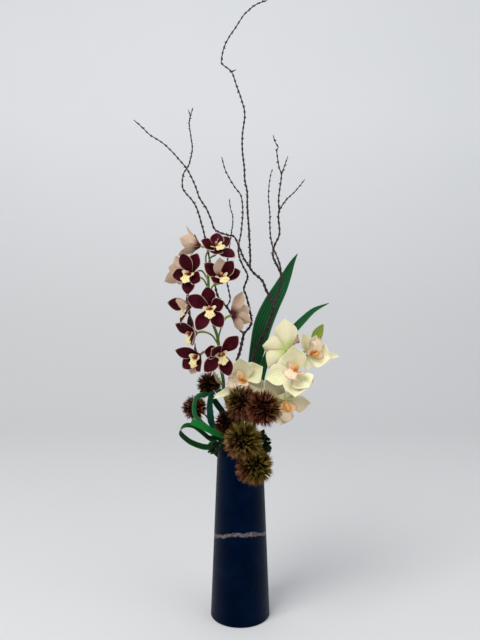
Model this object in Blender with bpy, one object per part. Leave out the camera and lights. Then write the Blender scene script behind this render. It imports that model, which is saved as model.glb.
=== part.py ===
"""Orchid arrangement in a tall stone vase.

A burgundy and a white cymbidium spray stand in water with two knobbly bare branches, two strap
leaves, four grass blades, three of them bent into loops, two twigs of spiny burrs and four sprigs of boxwood.
The origin is the centre of the vase's base, +Z is up and the front is -Y.
Lengths in the tables are in millimetres. MM turns them into metres.
"""

import math
import random

import bpy
from mathutils import Matrix, Vector
from mathutils.bvhtree import BVHTree

MM = 0.001
GAP = 0.3

# Vase and water
VASE_HEIGHT = 300.0
VASE_BASE_RADIUS = 50.0
VASE_RIM_RADIUS = 37.5
VASE_EDGE = 1.5
VASE_SIDES = 32
MOUTH_RADIUS = 30.0
CAVITY_FLOOR = 20.0
CAVITY_RADIUS = 40.0
WATER_LEVEL = 205.0
STEM_FOOT = 30.0
HOLE_SIDES = 5

# Where each stem stands in the water: x, y and its radius there
STEM_SPOTS = {
    "branch_a": (10, 7, 3.0),
    "branch_b": (-6, 8, 2.8),
    "burgundy_stem": (-9, -9, 3.3),
    "white_stem": (9, -9, 3.3),
    "burr_twig_front": (0, -17, 2.0),
    "burr_twig_left": (-17, 1, 1.8),
    "leaf_tall": (9, 20, 2.8),
    "leaf_arching": (20, 6, 2.8),
    "boxwood_left": (-24, 9, 1.0),
    "boxwood_front": (9, -23, 1.0),
    "boxwood_right": (24, -7, 1.0),
    "boxwood_back": (-5, 24, 1.0),
}

# Branches: each limb is its route, its radius at both ends and its number of sides
KNOB_SPACING = 36.0
KNOB_SWELL = 1.5
BRANCH_A = [
    ([(10, 7, 260), (11, 7, 300), (12, 7, 360), (16, 8, 400), (20, 8, 423), (26, 9, 450),
      (36, 9, 469), (45, 7, 486), (51, 4, 503), (57, 0, 527)], 3.0, 2.5, 5),
    ([(57, 0, 527), (44, 3, 549), (37, 6, 566), (23, 9, 579), (16, 10, 588)], 2.3, 1.8, 5),
    ([(16, 10, 588), (17, 11, 603), (16, 13, 629), (14, 16, 663), (12, 18, 690), (12, 20, 715),
      (8, 22, 735), (7, 24, 757), (4, 26, 784), (4, 28, 811), (8, 30, 846), (2, 32, 872),
      (-5, 32, 891), (-14, 30, 915), (-28, 28, 926), (-31, 27, 932), (-27, 24, 952), (-18, 20, 969),
      (-6, 14, 984), (7, 6, 1000), (25, -4, 1011), (43, -14, 1014)], 1.6, 0.8, 3),
    ([(-14, 30, 915), (-10, 31, 918), (-6, 32, 920)], 0.9, 0.6, 3),
    ([(16, 10, 588), (6, 8, 604), (-1, 6, 621), (-10, 4, 639), (-22, 2, 642), (-41, -2, 650),
      (-48, -6, 667), (-56, -10, 685), (-66, -14, 700), (-74, -18, 722), (-85, -24, 744),
      (-95, -28, 756), (-108, -34, 770), (-123, -40, 783), (-142, -48, 794), (-152, -52, 803),
      (-165, -58, 814)], 1.6, 0.7, 3),
    ([(57, 0, 527), (64, -3, 547), (68, -6, 572), (61, -5, 591), (54, -5, 607), (56, -7, 623),
      (64, -12, 643), (62, -14, 670), (63, -15, 680), (62, -18, 696), (63, -20, 710), (66, -24, 736),
      (62, -26, 748), (58, -30, 772), (60, -31, 779), (55, -32, 787), (52, -34, 797)], 2.0, 0.7, 4),
    ([(66, -24, 736), (74, -18, 759), (77, -16, 767)], 1.0, 0.6, 3),
    ([(63, -15, 680), (74, -8, 697), (91, 2, 714), (108, 12, 735)], 1.1, 0.6, 3),
    ([(68, -6, 572), (65, -12, 592), (58, -15, 610), (52, -12, 625), (49, -4, 648), (49, 2, 676),
      (47, 8, 708), (50, 14, 738), (54, 16, 752)], 1.4, 0.6, 3),
]
BRANCH_B = [
    ([(-6, 8, 260), (-8, 8, 300), (-14, 7, 345), (-16, 5, 374), (-15, 5, 393), (-10, 4, 417),
      (-4, 4, 437), (1, 3, 454), (6, 2, 478)], 2.8, 2.2, 5),
    ([(6, 2, 478), (-7, 0, 493), (-16, 0, 513), (-23, 2, 523), (-36, 4, 538), (-42, 6, 559),
      (-50, 10, 598), (-60, 14, 644), (-65, 16, 663), (-72, 20, 686), (-81, 23, 702), (-96, 28, 721),
      (-96, 32, 745), (-87, 36, 762), (-81, 40, 788), (-83, 42, 809), (-86, 45, 836), (-80, 47, 861)],
      1.9, 0.7, 4),
    ([(-86, 45, 836), (-85, 46, 847), (-88, 48, 858)], 0.8, 0.6, 3),
    ([(-23, 2, 523), (-17, 6, 536), (-22, 10, 563), (-24, 12, 581), (-20, 15, 608), (-16, 18, 636),
      (-12, 20, 669), (-16, 22, 688), (-18, 23, 704)], 1.2, 0.6, 3),
    ([(6, 2, 478), (18, -2, 494), (16, -4, 516), (10, -6, 541), (6, -7, 553), (12, -8, 574),
      (5, -10, 589), (-2, -11, 607), (-3, -11, 623), (1, -11, 643), (3, -12, 662), (4, -12, 680),
      (1, -14, 704), (-10, -17, 719), (-23, -22, 741), (-28, -26, 756), (-30, -27, 764)], 1.8, 0.7, 4),
]

# Flowering stems: the route of each from the mouth up, and its radius at both ends
BURGUNDY_STEM = [(-9, -9, 260), (-9, -9, 300), (-12, -9, 335), (-21, -15, 362), (-27, -22, 384),
                 (-28, -26, 404), (-32, -30, 428), (-35, -33, 461), (-38, -34, 479), (-45, -34, 500),
                 (-49, -33, 522), (-51, -32, 548), (-52, -31, 571), (-53, -30, 590)]
WHITE_STEM = [(9, -9, 260), (10, -9, 300), (18, -12, 335), (26, -15, 352), (36, -19, 377),
              (50, -24, 392), (61, -26, 401), (71, -28, 414), (78, -28, 431), (80, -27, 445)]
STEM_RADIUS = 3.3
STEM_TIP_RADIUS = 2.0
STEM_SIDES = 5
PEDICEL_RADIUS = 1.5
PEDICEL_SIDES = 3
# The bract on the burgundy stem: each point of its route with the width there
BRACT = [(-28, -25, 396, 3), (-35, -32, 404, 7), (-40, -37, 413, 5), (-44, -39, 421, 1)]
BRACT_ACROSS = [(0.6, -0.5, 0.5)]
STEM_KINDS = {"burgundy": (BURGUNDY_STEM, "burgundy_stem"), "white": (WHITE_STEM, "white_stem")}

# Blooms: centre, the way the bloom faces, its roll in degrees, the height on the stem where its
# pedicel leaves, and where the tips of its three sepals and two petals lie as seen from the centre
BLOOMS = {
    "burgundy": [
        ((-67, -21, 623), (-0.85, 0.3, 0.3), 0, 578,
         [(-21, 4, 33), (-31, -8, 12), (-34, -2, -16), (-14, 33, 14), (-16, 30, -16)]),
        ((-39, -38, 616), (0.1, -0.75, 0.65), 30, 585,
         [(31, -12, -13), (2, 10, 28), (0, -34, -10), (22, 8, 20), (-24, -10, 14)]),
        ((-80, -30, 577), (-0.35, -0.9, 0.1), -15, 552,
         [(-14, -8, 34), (12, -6, 34), (-5, -10, -34), (17, -26, -12), (-30, -9, -4)]),
        ((-91, -2, 580), (-0.7, 0.6, 0.1), 10, 565,
         [(-34, -6, -15), (-16, 4, 28), (-6, 32, 14), (-27, -8, 9), (-8, 28, -20)]),
        ((-31, -44, 569), (0.1, -0.85, 0.5), 20, 540,
         [(-2, -8, 34), (-27, -10, 25), (32, 2, 13), (20, -10, 29), (-12, -30, -6)]),
        ((-82, -30, 526), (-0.85, -0.45, -0.1), 0, 505,
         [(-37, 6, 5), (-14, -14, -29), (-6, 24, 20), (-20, -26, 8), (0, 24, -22)]),
        ((-48, -52, 523), (-0.08, -1.0, 0.05), 5, 515,
         [(-5, -6, 35), (-22, -4, -36), (20, -8, -31), (-37, -6, 19), (23, -24, 11)]),
        ((-73, -35, 482), (-0.85, -0.5, -0.1), 0, 462,
         [(-33, 4, 15), (-4, -22, -17), (-10, 28, -18), (-10, 10, 30), (2, -32, 2)]),
        ((-67, -42, 447), (-0.6, -0.75, -0.2), -10, 412,
         [(-38, -6, 9), (-13, 5, -32), (4, -26, -24), (-8, 26, 12), (-27, 6, -22)]),
        ((-31, -54, 452), (0.05, -0.98, -0.1), 16, 440,
         [(28, -8, 28), (-27, -6, -30), (14, -8, -37), (-14, -32, 10), (-27, -7, 3)]),
        ((-13, -28, 511), (0.6, 0.6, 0.25), 0, 472,
         [(16, 2, 38), (31, -4, -11), (0, 33, 17), (29, 4, 11), (15, -4, -26)]),
    ],
    "white": [
        ((8, -30, 404), (-0.35, -0.85, 0.3), -55, 372,
         [(-10, -8, 38), (-52, -26, -25), (30, -12, -24), (28, -16, 25), (-24, 12, 16)]),
        ((76, -22, 453), (0.1, 0.85, 0.3), -139, 438,
         [(-4, 0, 52), (-31, -6, -29), (-16, -12, -39), (-40, 2, 7), (-6, 33, -20)]),
        ((113, -20, 445), (0.5, -0.85, 0.2), 165, 438,
         [(-12, -4, 36), (51, 4, -3), (-6, -10, -25), (13, 6, 32), (34, -14, -4)]),
        ((88, -46, 418), (-0.05, -0.8, 0.5), -38, 425,
         [(-6, -16, 47), (-3, -28, -34), (-49, 2, -8), (30, -14, -13), (19, -24, -20)]),
        ((73, -30, 370), (0.15, -0.75, -0.55), 0, 394,
         [(42, -4, -2), (-8, -8, -38), (-30, -12, -26), (-33, -7, 36), (4, -8, 18)]),
    ],
}
# Petals narrower than the rest: the bloom, the place of the petal's tip in its list, and the share
SLIM_PETALS = {
    ("burgundy_bloom_01", 0): 0.55,
    ("white_bloom_01", 1): 0.35,
    ("white_bloom_01", 4): 0.6,
    ("white_bloom_02", 2): 0.4,
    ("white_bloom_02", 4): 0.6,
    ("white_bloom_03", 0): 0.6,
    ("white_bloom_03", 1): 0.35,
    ("white_bloom_03", 2): 0.5,
    ("white_bloom_03", 3): 0.6,
    ("white_bloom_03", 4): 1.1,
    ("white_bloom_04", 3): 0.4,
}
# Petal width and the length of the lip for each kind
BLOOM_SIZES = {"burgundy": (22, 18), "white": (35, 24)}
# How far a petal curls back, or forward where it is above 0, in degrees, and how deep its cup is
PETAL_CURL = {"burgundy": (-25, -10), "white": (10, 40)}
PETAL_CUP = {"burgundy": (0.12, 0.3), "white": (0.35, 0.65)}
PETAL_THICKNESS = 0.9
PETAL_ROWS = (0.0, 0.34, 0.76, 1.0)
# Where the points across a petal lie, from one edge to the other
PETAL_COLUMNS = {"burgundy": (1, -1), "white": (1, 0, -1)}
HUB_RADIUS = 4.0
HUB_DEPTH = 3.5
PETAL_ROOT = 2.6
SEPAL_SEAT = -2.5
PETAL_SEAT = -0.6
SEPALS = 3

# Burrs: centre, radius over the spines, and the way its stalk lies
BURRS = [
    ((-52, 8, 392), 24, (0.1, 0.1, -1)),
    ((-76, 2, 353), 24, (0.8, 0.2, -0.6)),
    ((3, -57, 372), 33, (0.1, 0.6, -0.8)),
    ((35, -75, 367), 33, (-0.6, 0.5, -0.6)),
    ((-22, -46, 338), 23, (0.63, 0.52, -0.58)),
    ((4, -77, 316), 34, (0.1, 0.9, 0.3)),
    ((22, -72, 275), 34, (-0.1, 0.5, 0.85)),
]
# Twigs of the burrs: route, radius, and each burr's place in the list with the joint of its stalk
BURR_TWIGS = {
    "burr_twig_front": ([(0, -17, 260), (0, -18, 296), (1, -27, 318), (4, -34, 326)], 2.0, [(2, 2),
                         (3, 3), (4, 2), (5, 2), (6, 3)]),
    "burr_twig_left": ([(-17, 1, 260), (-18, 1, 300), (-31, 1, 318), (-44, 5, 324), (-54, 6, 334)],
                        1.8, [(0, 3), (1, 4)]),
}
STALK_RADIUS = 1.4
STALK_SIDES = 3
BURR_CORE = 0.5
SPINE_WIDTH = 2.6
SPINE_CLEARANCE = 2.0
STALK_CONE = 0.8

# Leaves: each point of the route with the width there, and the way across the blade
LEAF_TALL = [(9, 20, 260, 5), (10, 21, 300, 5), (15, 26, 360, 10), (22, 30, 411, 19),
             (29, 32, 448, 26), (39, 33, 491, 32), (53, 32, 525, 30), (67, 30, 551, 25),
             (79, 28, 576, 17), (88, 25, 596, 9), (97, 22, 612, 1)]
LEAF_ARCHING = [(20, 6, 260, 5), (22, 8, 300, 5), (27, 15, 347, 9), (34, 20, 390, 13),
                (42, 22, 424, 14), (55, 22, 449, 15), (71, 19, 466, 15), (89, 15, 482, 14),
                (106, 12, 500, 12), (124, 8, 517, 8), (148, 4, 529, 1)]
SPRAY_LEAF = [(122, 18, 455, 2), (127, 19, 464, 14), (132, 19, 476, 18), (137, 18, 486, 11),
              (141, 17, 493, 1)]
TALL_ACROSS = [(0.87, 0.1, -0.48)]
ARCHING_ACROSS = [(0.5, -0.3, -0.75)]
SPRAY_LEAF_ACROSS = [(0.9, -0.3, -0.3)]
MIDRIB_FOLD = 0.3
BLADE_THICKNESS = 0.9

# Grass: the angle at the mouth where each end is tucked in, or none for an end that was cut, the
# route between, and the ways across the blade, blended along it
LOOPS = {
    "loop_low": (203, [(-33, -11, 307), (-43, -15, 305), (-52, -19, 307), (-60, -21, 314),
                       (-69, -23, 322), (-77, -25, 328), (-86, -27, 330), (-93, -28, 328),
                       (-98, -27, 322), (-97, -24, 315), (-90, -21, 307), (-82, -17, 300),
                       (-71, -13, 294), (-60, -10, 290), (-51, -8, 290), (-44, -6, 298),
                       (-38, -5, 307), (-30, -4, 310)], 187,
                 [(0.1, 0.6, 0.8), (0.3, 0.9, 0.4), (0.15, 0.6, 0.8), (0.0, 0.5, 0.85)]),
    "loop_back": (140, [(-27, 12, 325), (-30, 6, 345), (-37, 0, 357), (-45, -6, 369),
                        (-53, -12, 376), (-60, -18, 378), (-68, -24, 378), (-72, -28, 374),
                        (-74, -30, 368), (-75, -31, 357), (-73, -31, 347), (-67, -30, 339),
                        (-56, -27, 327), (-45, -20, 317), (-34, -16, 313)], 218,
                  [(0.9, 0.2, 0.3), (0.85, 0.2, 0.45), (0.3, 0.6, -0.6), (0.8, 0.55, -0.1),
                   (0.5, 0.85, 0.0)]),
    "loop_front": (233, [(-27, -24, 311), (-38, -26, 320), (-46, -28, 332), (-49, -32, 341),
                         (-50, -35, 354), (-50, -36, 365), (-49, -36, 375), (-47, -36, 383),
                         (-42, -35, 387), (-36, -34, 389), (-29, -34, 386), (-23, -32, 376),
                         (-18, -29, 362), (-15, -27, 345), (-12, -26, 327), (-8, -25, 312)], 260,
                   [(0.8, 0.5, 0.3), (1.0, 0.2, 0.0), (0.9, 0.4, 0.1), (0.4, 0.85, 0.3),
                    (0.3, 0.95, 0.1), (0.3, 0.95, 0.1)]),
    "grass_front": (247, [(-21, -33, 311), (-36, -38, 319), (-51, -42, 326), (-65, -45, 334),
                          (-79, -47, 341)], None, [(0.4, 0.2, 0.85)]),
}
LOOP_WIDTH = 10.0
TUCKED_WIDTH = 1.2
TUCKED_DEPTH = 18.0
TUCKED_RADIUS = 22.0

# Boxwood: route of each sprig from the mouth out, then the leaf and the step between leaf pairs
BOXWOOD = {
    "boxwood_left": [(-24, 9, 260), (-24, 9, 292), (-26, 10, 303), (-36, 11, 307), (-43, 8, 301),
                     (-46, 4, 291), (-47, 2, 282)],
    "boxwood_front": [(9, -23, 260), (9, -23, 292), (5, -27, 302), (-6, -34, 305), (-19, -36, 302),
                      (-31, -31, 299), (-40, -25, 292), (-43, -22, 282)],
    "boxwood_right": [(24, -7, 260), (24, -7, 292), (28, -9, 303), (35, -17, 311), (40, -24, 307),
                      (43, -28, 298), (43, -31, 289)],
    "boxwood_back": [(-5, 24, 260), (-5, 24, 292), (-6, 27, 304), (-4, 34, 316), (2, 39, 328),
                     (8, 41, 341)],
}
BOXWOOD_LEAF_LENGTH = 11.0
BOXWOOD_LEAF_WIDTH = 7.5
BOXWOOD_STEP = 13.0
LEAF_CLEARANCE = 1.2
# The height over the rim from which a sprig carries leaves inside it
LEAFY_HEIGHT = 8.0

# Colour and roughness of each finish
FINISHES = {
    "stone": ((0.012, 0.016, 0.026), 0.42),
    "water": ((0.75, 0.85, 0.9), 0.05),
    "bark": ((0.05, 0.03, 0.035), 0.8),
    "stem": ((0.16, 0.26, 0.05), 0.5),
    "burgundy_petal": ((0.12, 0.01, 0.02), 0.45),
    "burgundy_lip": ((0.75, 0.62, 0.35), 0.5),
    "white_petal": ((0.82, 0.8, 0.6), 0.5),
    "white_lip": ((0.85, 0.6, 0.42), 0.5),
    "burr": ((0.2, 0.1, 0.04), 0.75),
    "leaf": ((0.01, 0.16, 0.04), 0.4),
    "spray_leaf": ((0.25, 0.36, 0.04), 0.45),
    "boxwood": ((0.012, 0.05, 0.02), 0.4),
}


def clear_scene():
    """Remove every object that the scene starts with."""
    for obj in list(bpy.data.objects):
        bpy.data.objects.remove(obj, do_unlink=True)


def finish_material(name):
    """Return the material of this finish, made the first time it is asked for."""
    material = bpy.data.materials.get(name)
    if material is None:
        colour, roughness = FINISHES[name]
        material = bpy.data.materials.new(name)
        material.use_nodes = True
        shader = material.node_tree.nodes["Principled BSDF"]
        shader.inputs["Base Color"].default_value = (*colour, 1.0)
        shader.inputs["Roughness"].default_value = roughness
        shader.inputs["Metallic"].default_value = 0.0
    return material


def add_solid(name, shell, finish):
    """Add an object from a shell, which is its points in millimetres and its faces."""
    points, faces = shell
    mesh = bpy.data.meshes.new(name)
    mesh.from_pydata([Vector(point) * MM for point in points], [], faces)
    mesh.materials.append(finish_material(finish))
    obj = bpy.data.objects.new(name, mesh)
    bpy.context.scene.collection.objects.link(obj)
    return obj


def combine(name, shells, finish, operation="UNION"):
    """Join shells into one closed solid, or with DIFFERENCE cut the others out of the first."""
    target = add_solid(name, shells[0], finish)
    others = bpy.data.collections.new(name + "_others")
    bpy.context.scene.collection.children.link(others)
    for shell in shells[1:]:
        other = add_solid(name + "_other", shell, finish)
        bpy.context.scene.collection.objects.unlink(other)
        others.objects.link(other)
    modifier = target.modifiers.new("combine", "BOOLEAN")
    modifier.operation = operation
    modifier.operand_type = "COLLECTION"
    modifier.collection = others
    modifier.solver = "MANIFOLD"
    graph = bpy.context.evaluated_depsgraph_get()
    joined = bpy.data.meshes.new_from_object(target.evaluated_get(graph))
    target.modifiers.clear()
    target.data = joined
    for other in list(others.objects):
        bpy.data.objects.remove(other, do_unlink=True)
    bpy.data.collections.remove(others)
    return target


def smooth_route(points, spacing):
    """Read points about a spacing apart from a smooth curve through the route's own points."""
    knots = [Vector(point) for point in points]
    knots = [2 * knots[0] - knots[1]] + knots + [2 * knots[-1] - knots[-2]]
    route = []
    for before, start, end, after in zip(knots, knots[1:], knots[2:], knots[3:]):
        steps = max(1, round((end - start).length / spacing))
        for step in range(steps):
            t = step / steps
            bend = 2 * before - 5 * start + 4 * end - after
            twist = 3 * start - before - 3 * end + after
            route.append(0.5 * (2 * start + (end - before) * t + bend * t ** 2 + twist * t ** 3))
    route.append(knots[-2])
    return route


def tangents(route):
    """Return the direction of a route at each of its points."""
    ahead = route[1:] + route[-1:]
    behind = route[:1] + route[:-1]
    return [(later - earlier).normalized() for later, earlier in zip(ahead, behind)]


def turned(profile, sides):
    """Turn a closed profile of (radius, height) points, outer side top to bottom, round the Z axis."""
    points = []
    for side in range(sides):
        angle = 2 * math.pi * side / sides
        points += [(radius * math.cos(angle), radius * math.sin(angle), z) for radius, z in profile]
    count = len(profile)
    faces = []
    for side in range(sides):
        here = side * count
        there = (side + 1) % sides * count
        for row in range(count - 1):
            faces += [(here + row, here + row + 1, there + row + 1, there + row)]
    bottom = [side * count + count - 1 for side in range(sides)]
    top = [side * count for side in range(sides)]
    faces += [tuple(reversed(bottom)), tuple(top)]
    return points, faces


def tube(route, radii, sides):
    """Sweep a polygon along a route, with flat ends, its radius given at each point."""
    points = []
    across = None
    for place, direction, radius in zip(route, tangents(route), radii):
        if across is None:
            across = direction.orthogonal().normalized()
        across = (across - direction * across.dot(direction)).normalized()
        side_way = direction.cross(across)
        for side in range(sides):
            angle = 2 * math.pi * side / sides
            points.append(place + radius * (math.cos(angle) * across + math.sin(angle) * side_way))
    faces = []
    for ring in range(len(route) - 1):
        for side in range(sides):
            here = ring * sides + side
            following = ring * sides + (side + 1) % sides
            faces += [(here, following, following + sides), (here, following + sides, here + sides)]
    last = (len(route) - 1) * sides
    for side in range(1, sides - 1):
        faces += [(0, side + 1, side), (last, last + side, last + side + 1)]
    return points, faces


def blade(rows, normals, thickness):
    """Close rows of points into a thin solid, triangulated alike on both faces.

    All rows hold the same number of points, but the last may be a single tip.
    """
    points = []
    starts = []
    for row, normal in zip(rows, normals):
        starts.append(len(points))
        points += [point + normal * thickness / 2 for point in row]
        points += [point - normal * thickness / 2 for point in row]
    faces = []
    for index in range(len(rows) - 1):
        upper, lower = starts[index], starts[index + 1]
        count, next_count = len(rows[index]), len(rows[index + 1])
        for column in range(count - 1):
            a, b = upper + column, upper + column + 1
            if next_count == 1:
                faces += [(a, b, lower), (b + count, a + count, lower + 1)]
            else:
                c, d = lower + column + 1, lower + column
                faces += [(a, b, c), (a, c, d)]
                faces += [(b + count, a + count, c + count), (c + count, a + count, d + count)]
        left, right = upper, upper + count - 1
        next_left, next_right = lower, lower + next_count - 1
        faces += [(left, next_left, next_left + next_count)]
        faces += [(left, next_left + next_count, left + count)]
        faces += [(right, next_right + next_count, next_right)]
        faces += [(right, right + count, next_right + next_count)]
    for start, row, turned_round in ((starts[0], rows[0], False), (starts[-1], rows[-1], True)):
        count = len(row)
        for column in range(count - 1):
            a, b = start + column, start + column + 1
            ends = [(a, a + count, b + count), (a, b + count, b)]
            faces += [tuple(reversed(end)) for end in ends] if turned_round else ends
    return points, faces


def blended(ways, count):
    """Return a direction for each of a count of points, blended evenly from a few."""
    result = []
    for index in range(count):
        place = index / (count - 1) * (len(ways) - 1)
        first = min(int(place), len(ways) - 2)
        result.append(Vector(ways[first]).lerp(Vector(ways[first + 1]), place - first))
    return result


def ribbon(route, ways, fold):
    """Sweep a blade with a folded midrib along a route, whose points hold the width after x, y and z."""
    places = [point.to_3d() for point in route]
    rows = []
    normals = []
    widths = [point.w for point in route]
    for place, direction, width, across in zip(places, tangents(places), widths, blended(ways, len(route))):
        side_way = (across - direction * across.dot(direction)).normalized()
        normal = side_way.cross(direction)
        lift = normal * fold * width / 2
        rows.append([place - side_way * width / 2 + lift, place, place + side_way * width / 2 + lift])
        normals.append(normal)
    return blade(rows, normals, BLADE_THICKNESS)


def build_vase():
    """Add the hollow vase, its straight sides leaning in towards the rim, and the water in it."""
    lean = (VASE_BASE_RADIUS - VASE_RIM_RADIUS) / VASE_HEIGHT
    outline = [
        (VASE_RIM_RADIUS - VASE_EDGE, VASE_HEIGHT),
        (VASE_RIM_RADIUS, VASE_HEIGHT - VASE_EDGE),
        (VASE_BASE_RADIUS - lean * VASE_EDGE, VASE_EDGE),
        (VASE_BASE_RADIUS - VASE_EDGE, 0.0),
    ]
    points, faces = turned(outline, VASE_SIDES)
    cavity = [(MOUTH_RADIUS, VASE_HEIGHT + 1), (CAVITY_RADIUS, CAVITY_FLOOR)]
    combine("vase", [(points, faces), turned(cavity, VASE_SIDES)], "stone", "DIFFERENCE")


def cavity_radius(height):
    """Return the radius of the vase's cavity at a height."""
    share = (height - CAVITY_FLOOR) / (VASE_HEIGHT + 1 - CAVITY_FLOOR)
    return CAVITY_RADIUS + (MOUTH_RADIUS - CAVITY_RADIUS) * share


def build_water():
    """Add the water, with a plain hole for each stem that stands in it."""
    floor = CAVITY_FLOOR + GAP
    body = [(cavity_radius(WATER_LEVEL) - GAP, WATER_LEVEL), (cavity_radius(floor) - GAP, floor)]
    shells = [turned(body, VASE_SIDES)]
    for x, y, radius in STEM_SPOTS.values():
        hole_radius = (radius + GAP) / math.cos(math.pi / HOLE_SIDES)
        route = [Vector((x, y, STEM_FOOT - GAP)), Vector((x, y, WATER_LEVEL + 1))]
        shells.append(tube(route, [hole_radius] * 2, HOLE_SIDES))
    combine("water", shells, "water", "DIFFERENCE")


def from_water(name, route):
    """Start a route at the foot of its stem, below the route's own first point."""
    x, y, _ = STEM_SPOTS[name]
    return [Vector((x, y, STEM_FOOT))] + route


def knobbly_radii(count, start_radius, end_radius):
    """Return the radius at each point of a twig, every second one swollen into a knob."""
    radii = []
    for index in range(count):
        radius = start_radius + (end_radius - start_radius) * index / (count - 1)
        knob = index % 2 == 1 and index < count - 1
        radii.append(radius * (KNOB_SWELL if knob else 1.0))
    return radii


def build_branch(name, limbs):
    """Add a bare branch, all its limbs grown as one, the first one standing in the water."""
    shells = []
    for index, (points, start_radius, end_radius, sides) in enumerate(limbs):
        route = smooth_route(points, KNOB_SPACING / 2)
        radii = knobbly_radii(len(route), start_radius, end_radius)
        if index == 0:
            route = from_water(name, route)
            radii = [start_radius] + radii
        shells.append(tube(route, radii, sides))
    combine(name, shells, "bark")


def bloom_frame(facing, roll):
    """Return the turn of a bloom: its face along local Z and its upper sepal along local Y."""
    forward = Vector(facing).normalized()
    upright = Vector((0, 0, 1)) - forward * forward.z
    upright = Matrix.Rotation(math.radians(roll), 3, forward) @ upright.normalized()
    return Matrix((upright.cross(forward), upright, forward)).transposed()


def petal_width(share):
    """Return the width of a petal at a share of its length, as a share of its full width."""
    return 0.16 * (1 - share) ** 3 + math.sin(math.pi * share ** 1.35) ** 0.9


def petal(angle, seat, length, width, opening, curl, cup, columns):
    """Return a petal that leaves the hub at an angle, rises by opening and bends back by curl."""
    out = Vector((math.cos(angle), math.sin(angle), 0))
    side_way = Vector((-math.sin(angle), math.cos(angle), 0))
    place = out * PETAL_ROOT + Vector((0, 0, seat))
    rows = []
    normals = []
    previous = 0.0
    for share in PETAL_ROWS:
        rise = opening + curl * (share + previous) / 2
        way = math.cos(rise) * out + Vector((0, 0, math.sin(rise)))
        place = place + way * length * (share - previous)
        previous = share
        rise = opening + curl * share
        normal = Vector((0, 0, math.cos(rise))) - math.sin(rise) * out
        half = width / 2 * petal_width(share)
        lift = normal * cup * half
        if share < 1:
            rows.append([place + side_way * half * side + lift * side ** 2 for side in columns])
        else:
            rows.append([place])
        normals.append(normal)
    return blade(rows, normals, PETAL_THICKNESS)


def lip(length, scale):
    """Return the lip, which runs forward below the column and then curls down."""
    rows = []
    normals = []
    for share, half, lift in ((0, 1.2, 0.1), (0.55, 4.2, 0.8), (1.0, 2.8, -0.1)):
        turn = 1.9 * share ** 2
        drop = 1.3 + length * 0.62 * share ** 2.4
        place = Vector((0, -drop, 0.5 + length * 0.75 * math.sin(1.35 * share)))
        normal = Vector((0, math.cos(turn), math.sin(turn)))
        half_width = half * scale
        rise = normal * half_width * lift
        across = Vector((half_width, 0, 0))
        rows.append([place + across + rise, place, place - across + rise])
        normals.append(normal)
    return blade(rows, normals, PETAL_THICKNESS)


def column(length):
    """Return the column, a short rod arched over the lip."""
    return tube([Vector((0, -0.6, 0.6)), Vector((0, 1.6, 0.75 * length))], [1.2, 1.9], 4)


def placed(shell, frame, centre):
    """Move a shell from a bloom's own frame to its place."""
    points, faces = shell
    return [Vector(centre) + frame @ Vector(point) for point in points], faces


def aim_at(tip, seat):
    """Return the angle, length and opening of a petal that leaves the hub and ends at a tip."""
    out = Vector((tip.x, tip.y)).length - PETAL_ROOT
    rise = tip.z - seat
    return math.atan2(tip.y, tip.x), math.hypot(out, rise), math.atan2(rise, out)


def build_bloom(name, kind, centre, facing, roll, tips):
    """Add a bloom in two nodes: its five sepals and petals, and its lip with the column."""
    width, lip_length = BLOOM_SIZES[kind]
    frame = bloom_frame(facing, roll)
    draw = random.Random(name)
    hub = tube([Vector((0, 0, -HUB_DEPTH)), Vector((0, 0, 0))], [HUB_RADIUS * 0.8, HUB_RADIUS], 6)
    shells = [placed(hub, frame, centre)]
    for index, tip in enumerate(tips):
        seat = SEPAL_SEAT if index < SEPALS else PETAL_SEAT
        angle, length, opening = aim_at(frame.transposed() @ Vector(tip), seat)
        curl = math.radians(draw.uniform(*PETAL_CURL[kind]))
        cup = draw.uniform(*PETAL_CUP[kind])
        opening -= curl / 2
        wide = width * SLIM_PETALS.get((name, index), 1.0)
        grown = petal(angle, seat, length, wide, opening, curl, cup, PETAL_COLUMNS[kind])
        shells.append(placed(grown, frame, centre))
    combine(name, shells, kind + "_petal")
    parts = [lip(lip_length, lip_length / 15), column(lip_length)]
    combine(name + "_lip", [placed(part, frame, centre) for part in parts], kind + "_lip")


def point_at_height(route, height):
    """Return the point of a rising route that lies nearest to a height."""
    return min(route, key=lambda point: abs(point.z - height))


def pedicel(stem_route, leaves_at, centre, facing):
    """Return the stalk of a bloom, from the stem to the back of its hub."""
    forward = Vector(facing).normalized()
    start = point_at_height(stem_route, leaves_at)
    end = Vector(centre) - forward * (HUB_DEPTH + GAP)
    reach = (end - start).length
    route = smooth_route([start, start + Vector((0, 0, 0.25 * reach)) + (end - start) * 0.3,
                          end - forward * 0.3 * reach, end], reach / 3)
    radii = [PEDICEL_RADIUS] * (len(route) - 1) + [PEDICEL_RADIUS * 1.2]
    return tube(route, radii, PEDICEL_SIDES)


def build_spray(kind):
    """Add a flowering stem with its pedicels, and its blooms."""
    points, name = STEM_KINDS[kind]
    route = from_water(name, smooth_route(points, 24))
    taper = (STEM_TIP_RADIUS - STEM_RADIUS) / (len(route) - 1)
    radii = [STEM_RADIUS + taper * index for index in range(len(route))]
    shells = [tube(route, radii, STEM_SIDES)]
    if kind == "white":
        shells.append(spray_leaf_stalk())
    else:
        shells.append(ribbon(smooth_route(BRACT, 14), BRACT_ACROSS, MIDRIB_FOLD))
    for number, (centre, facing, roll, leaves_at, tips) in enumerate(BLOOMS[kind], 1):
        shells.append(pedicel(smooth_route(points, 4), leaves_at, centre, facing))
        build_bloom(f"{kind}_bloom_{number:02d}", kind, centre, facing, roll, tips)
    combine(name, shells, "stem")


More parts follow.
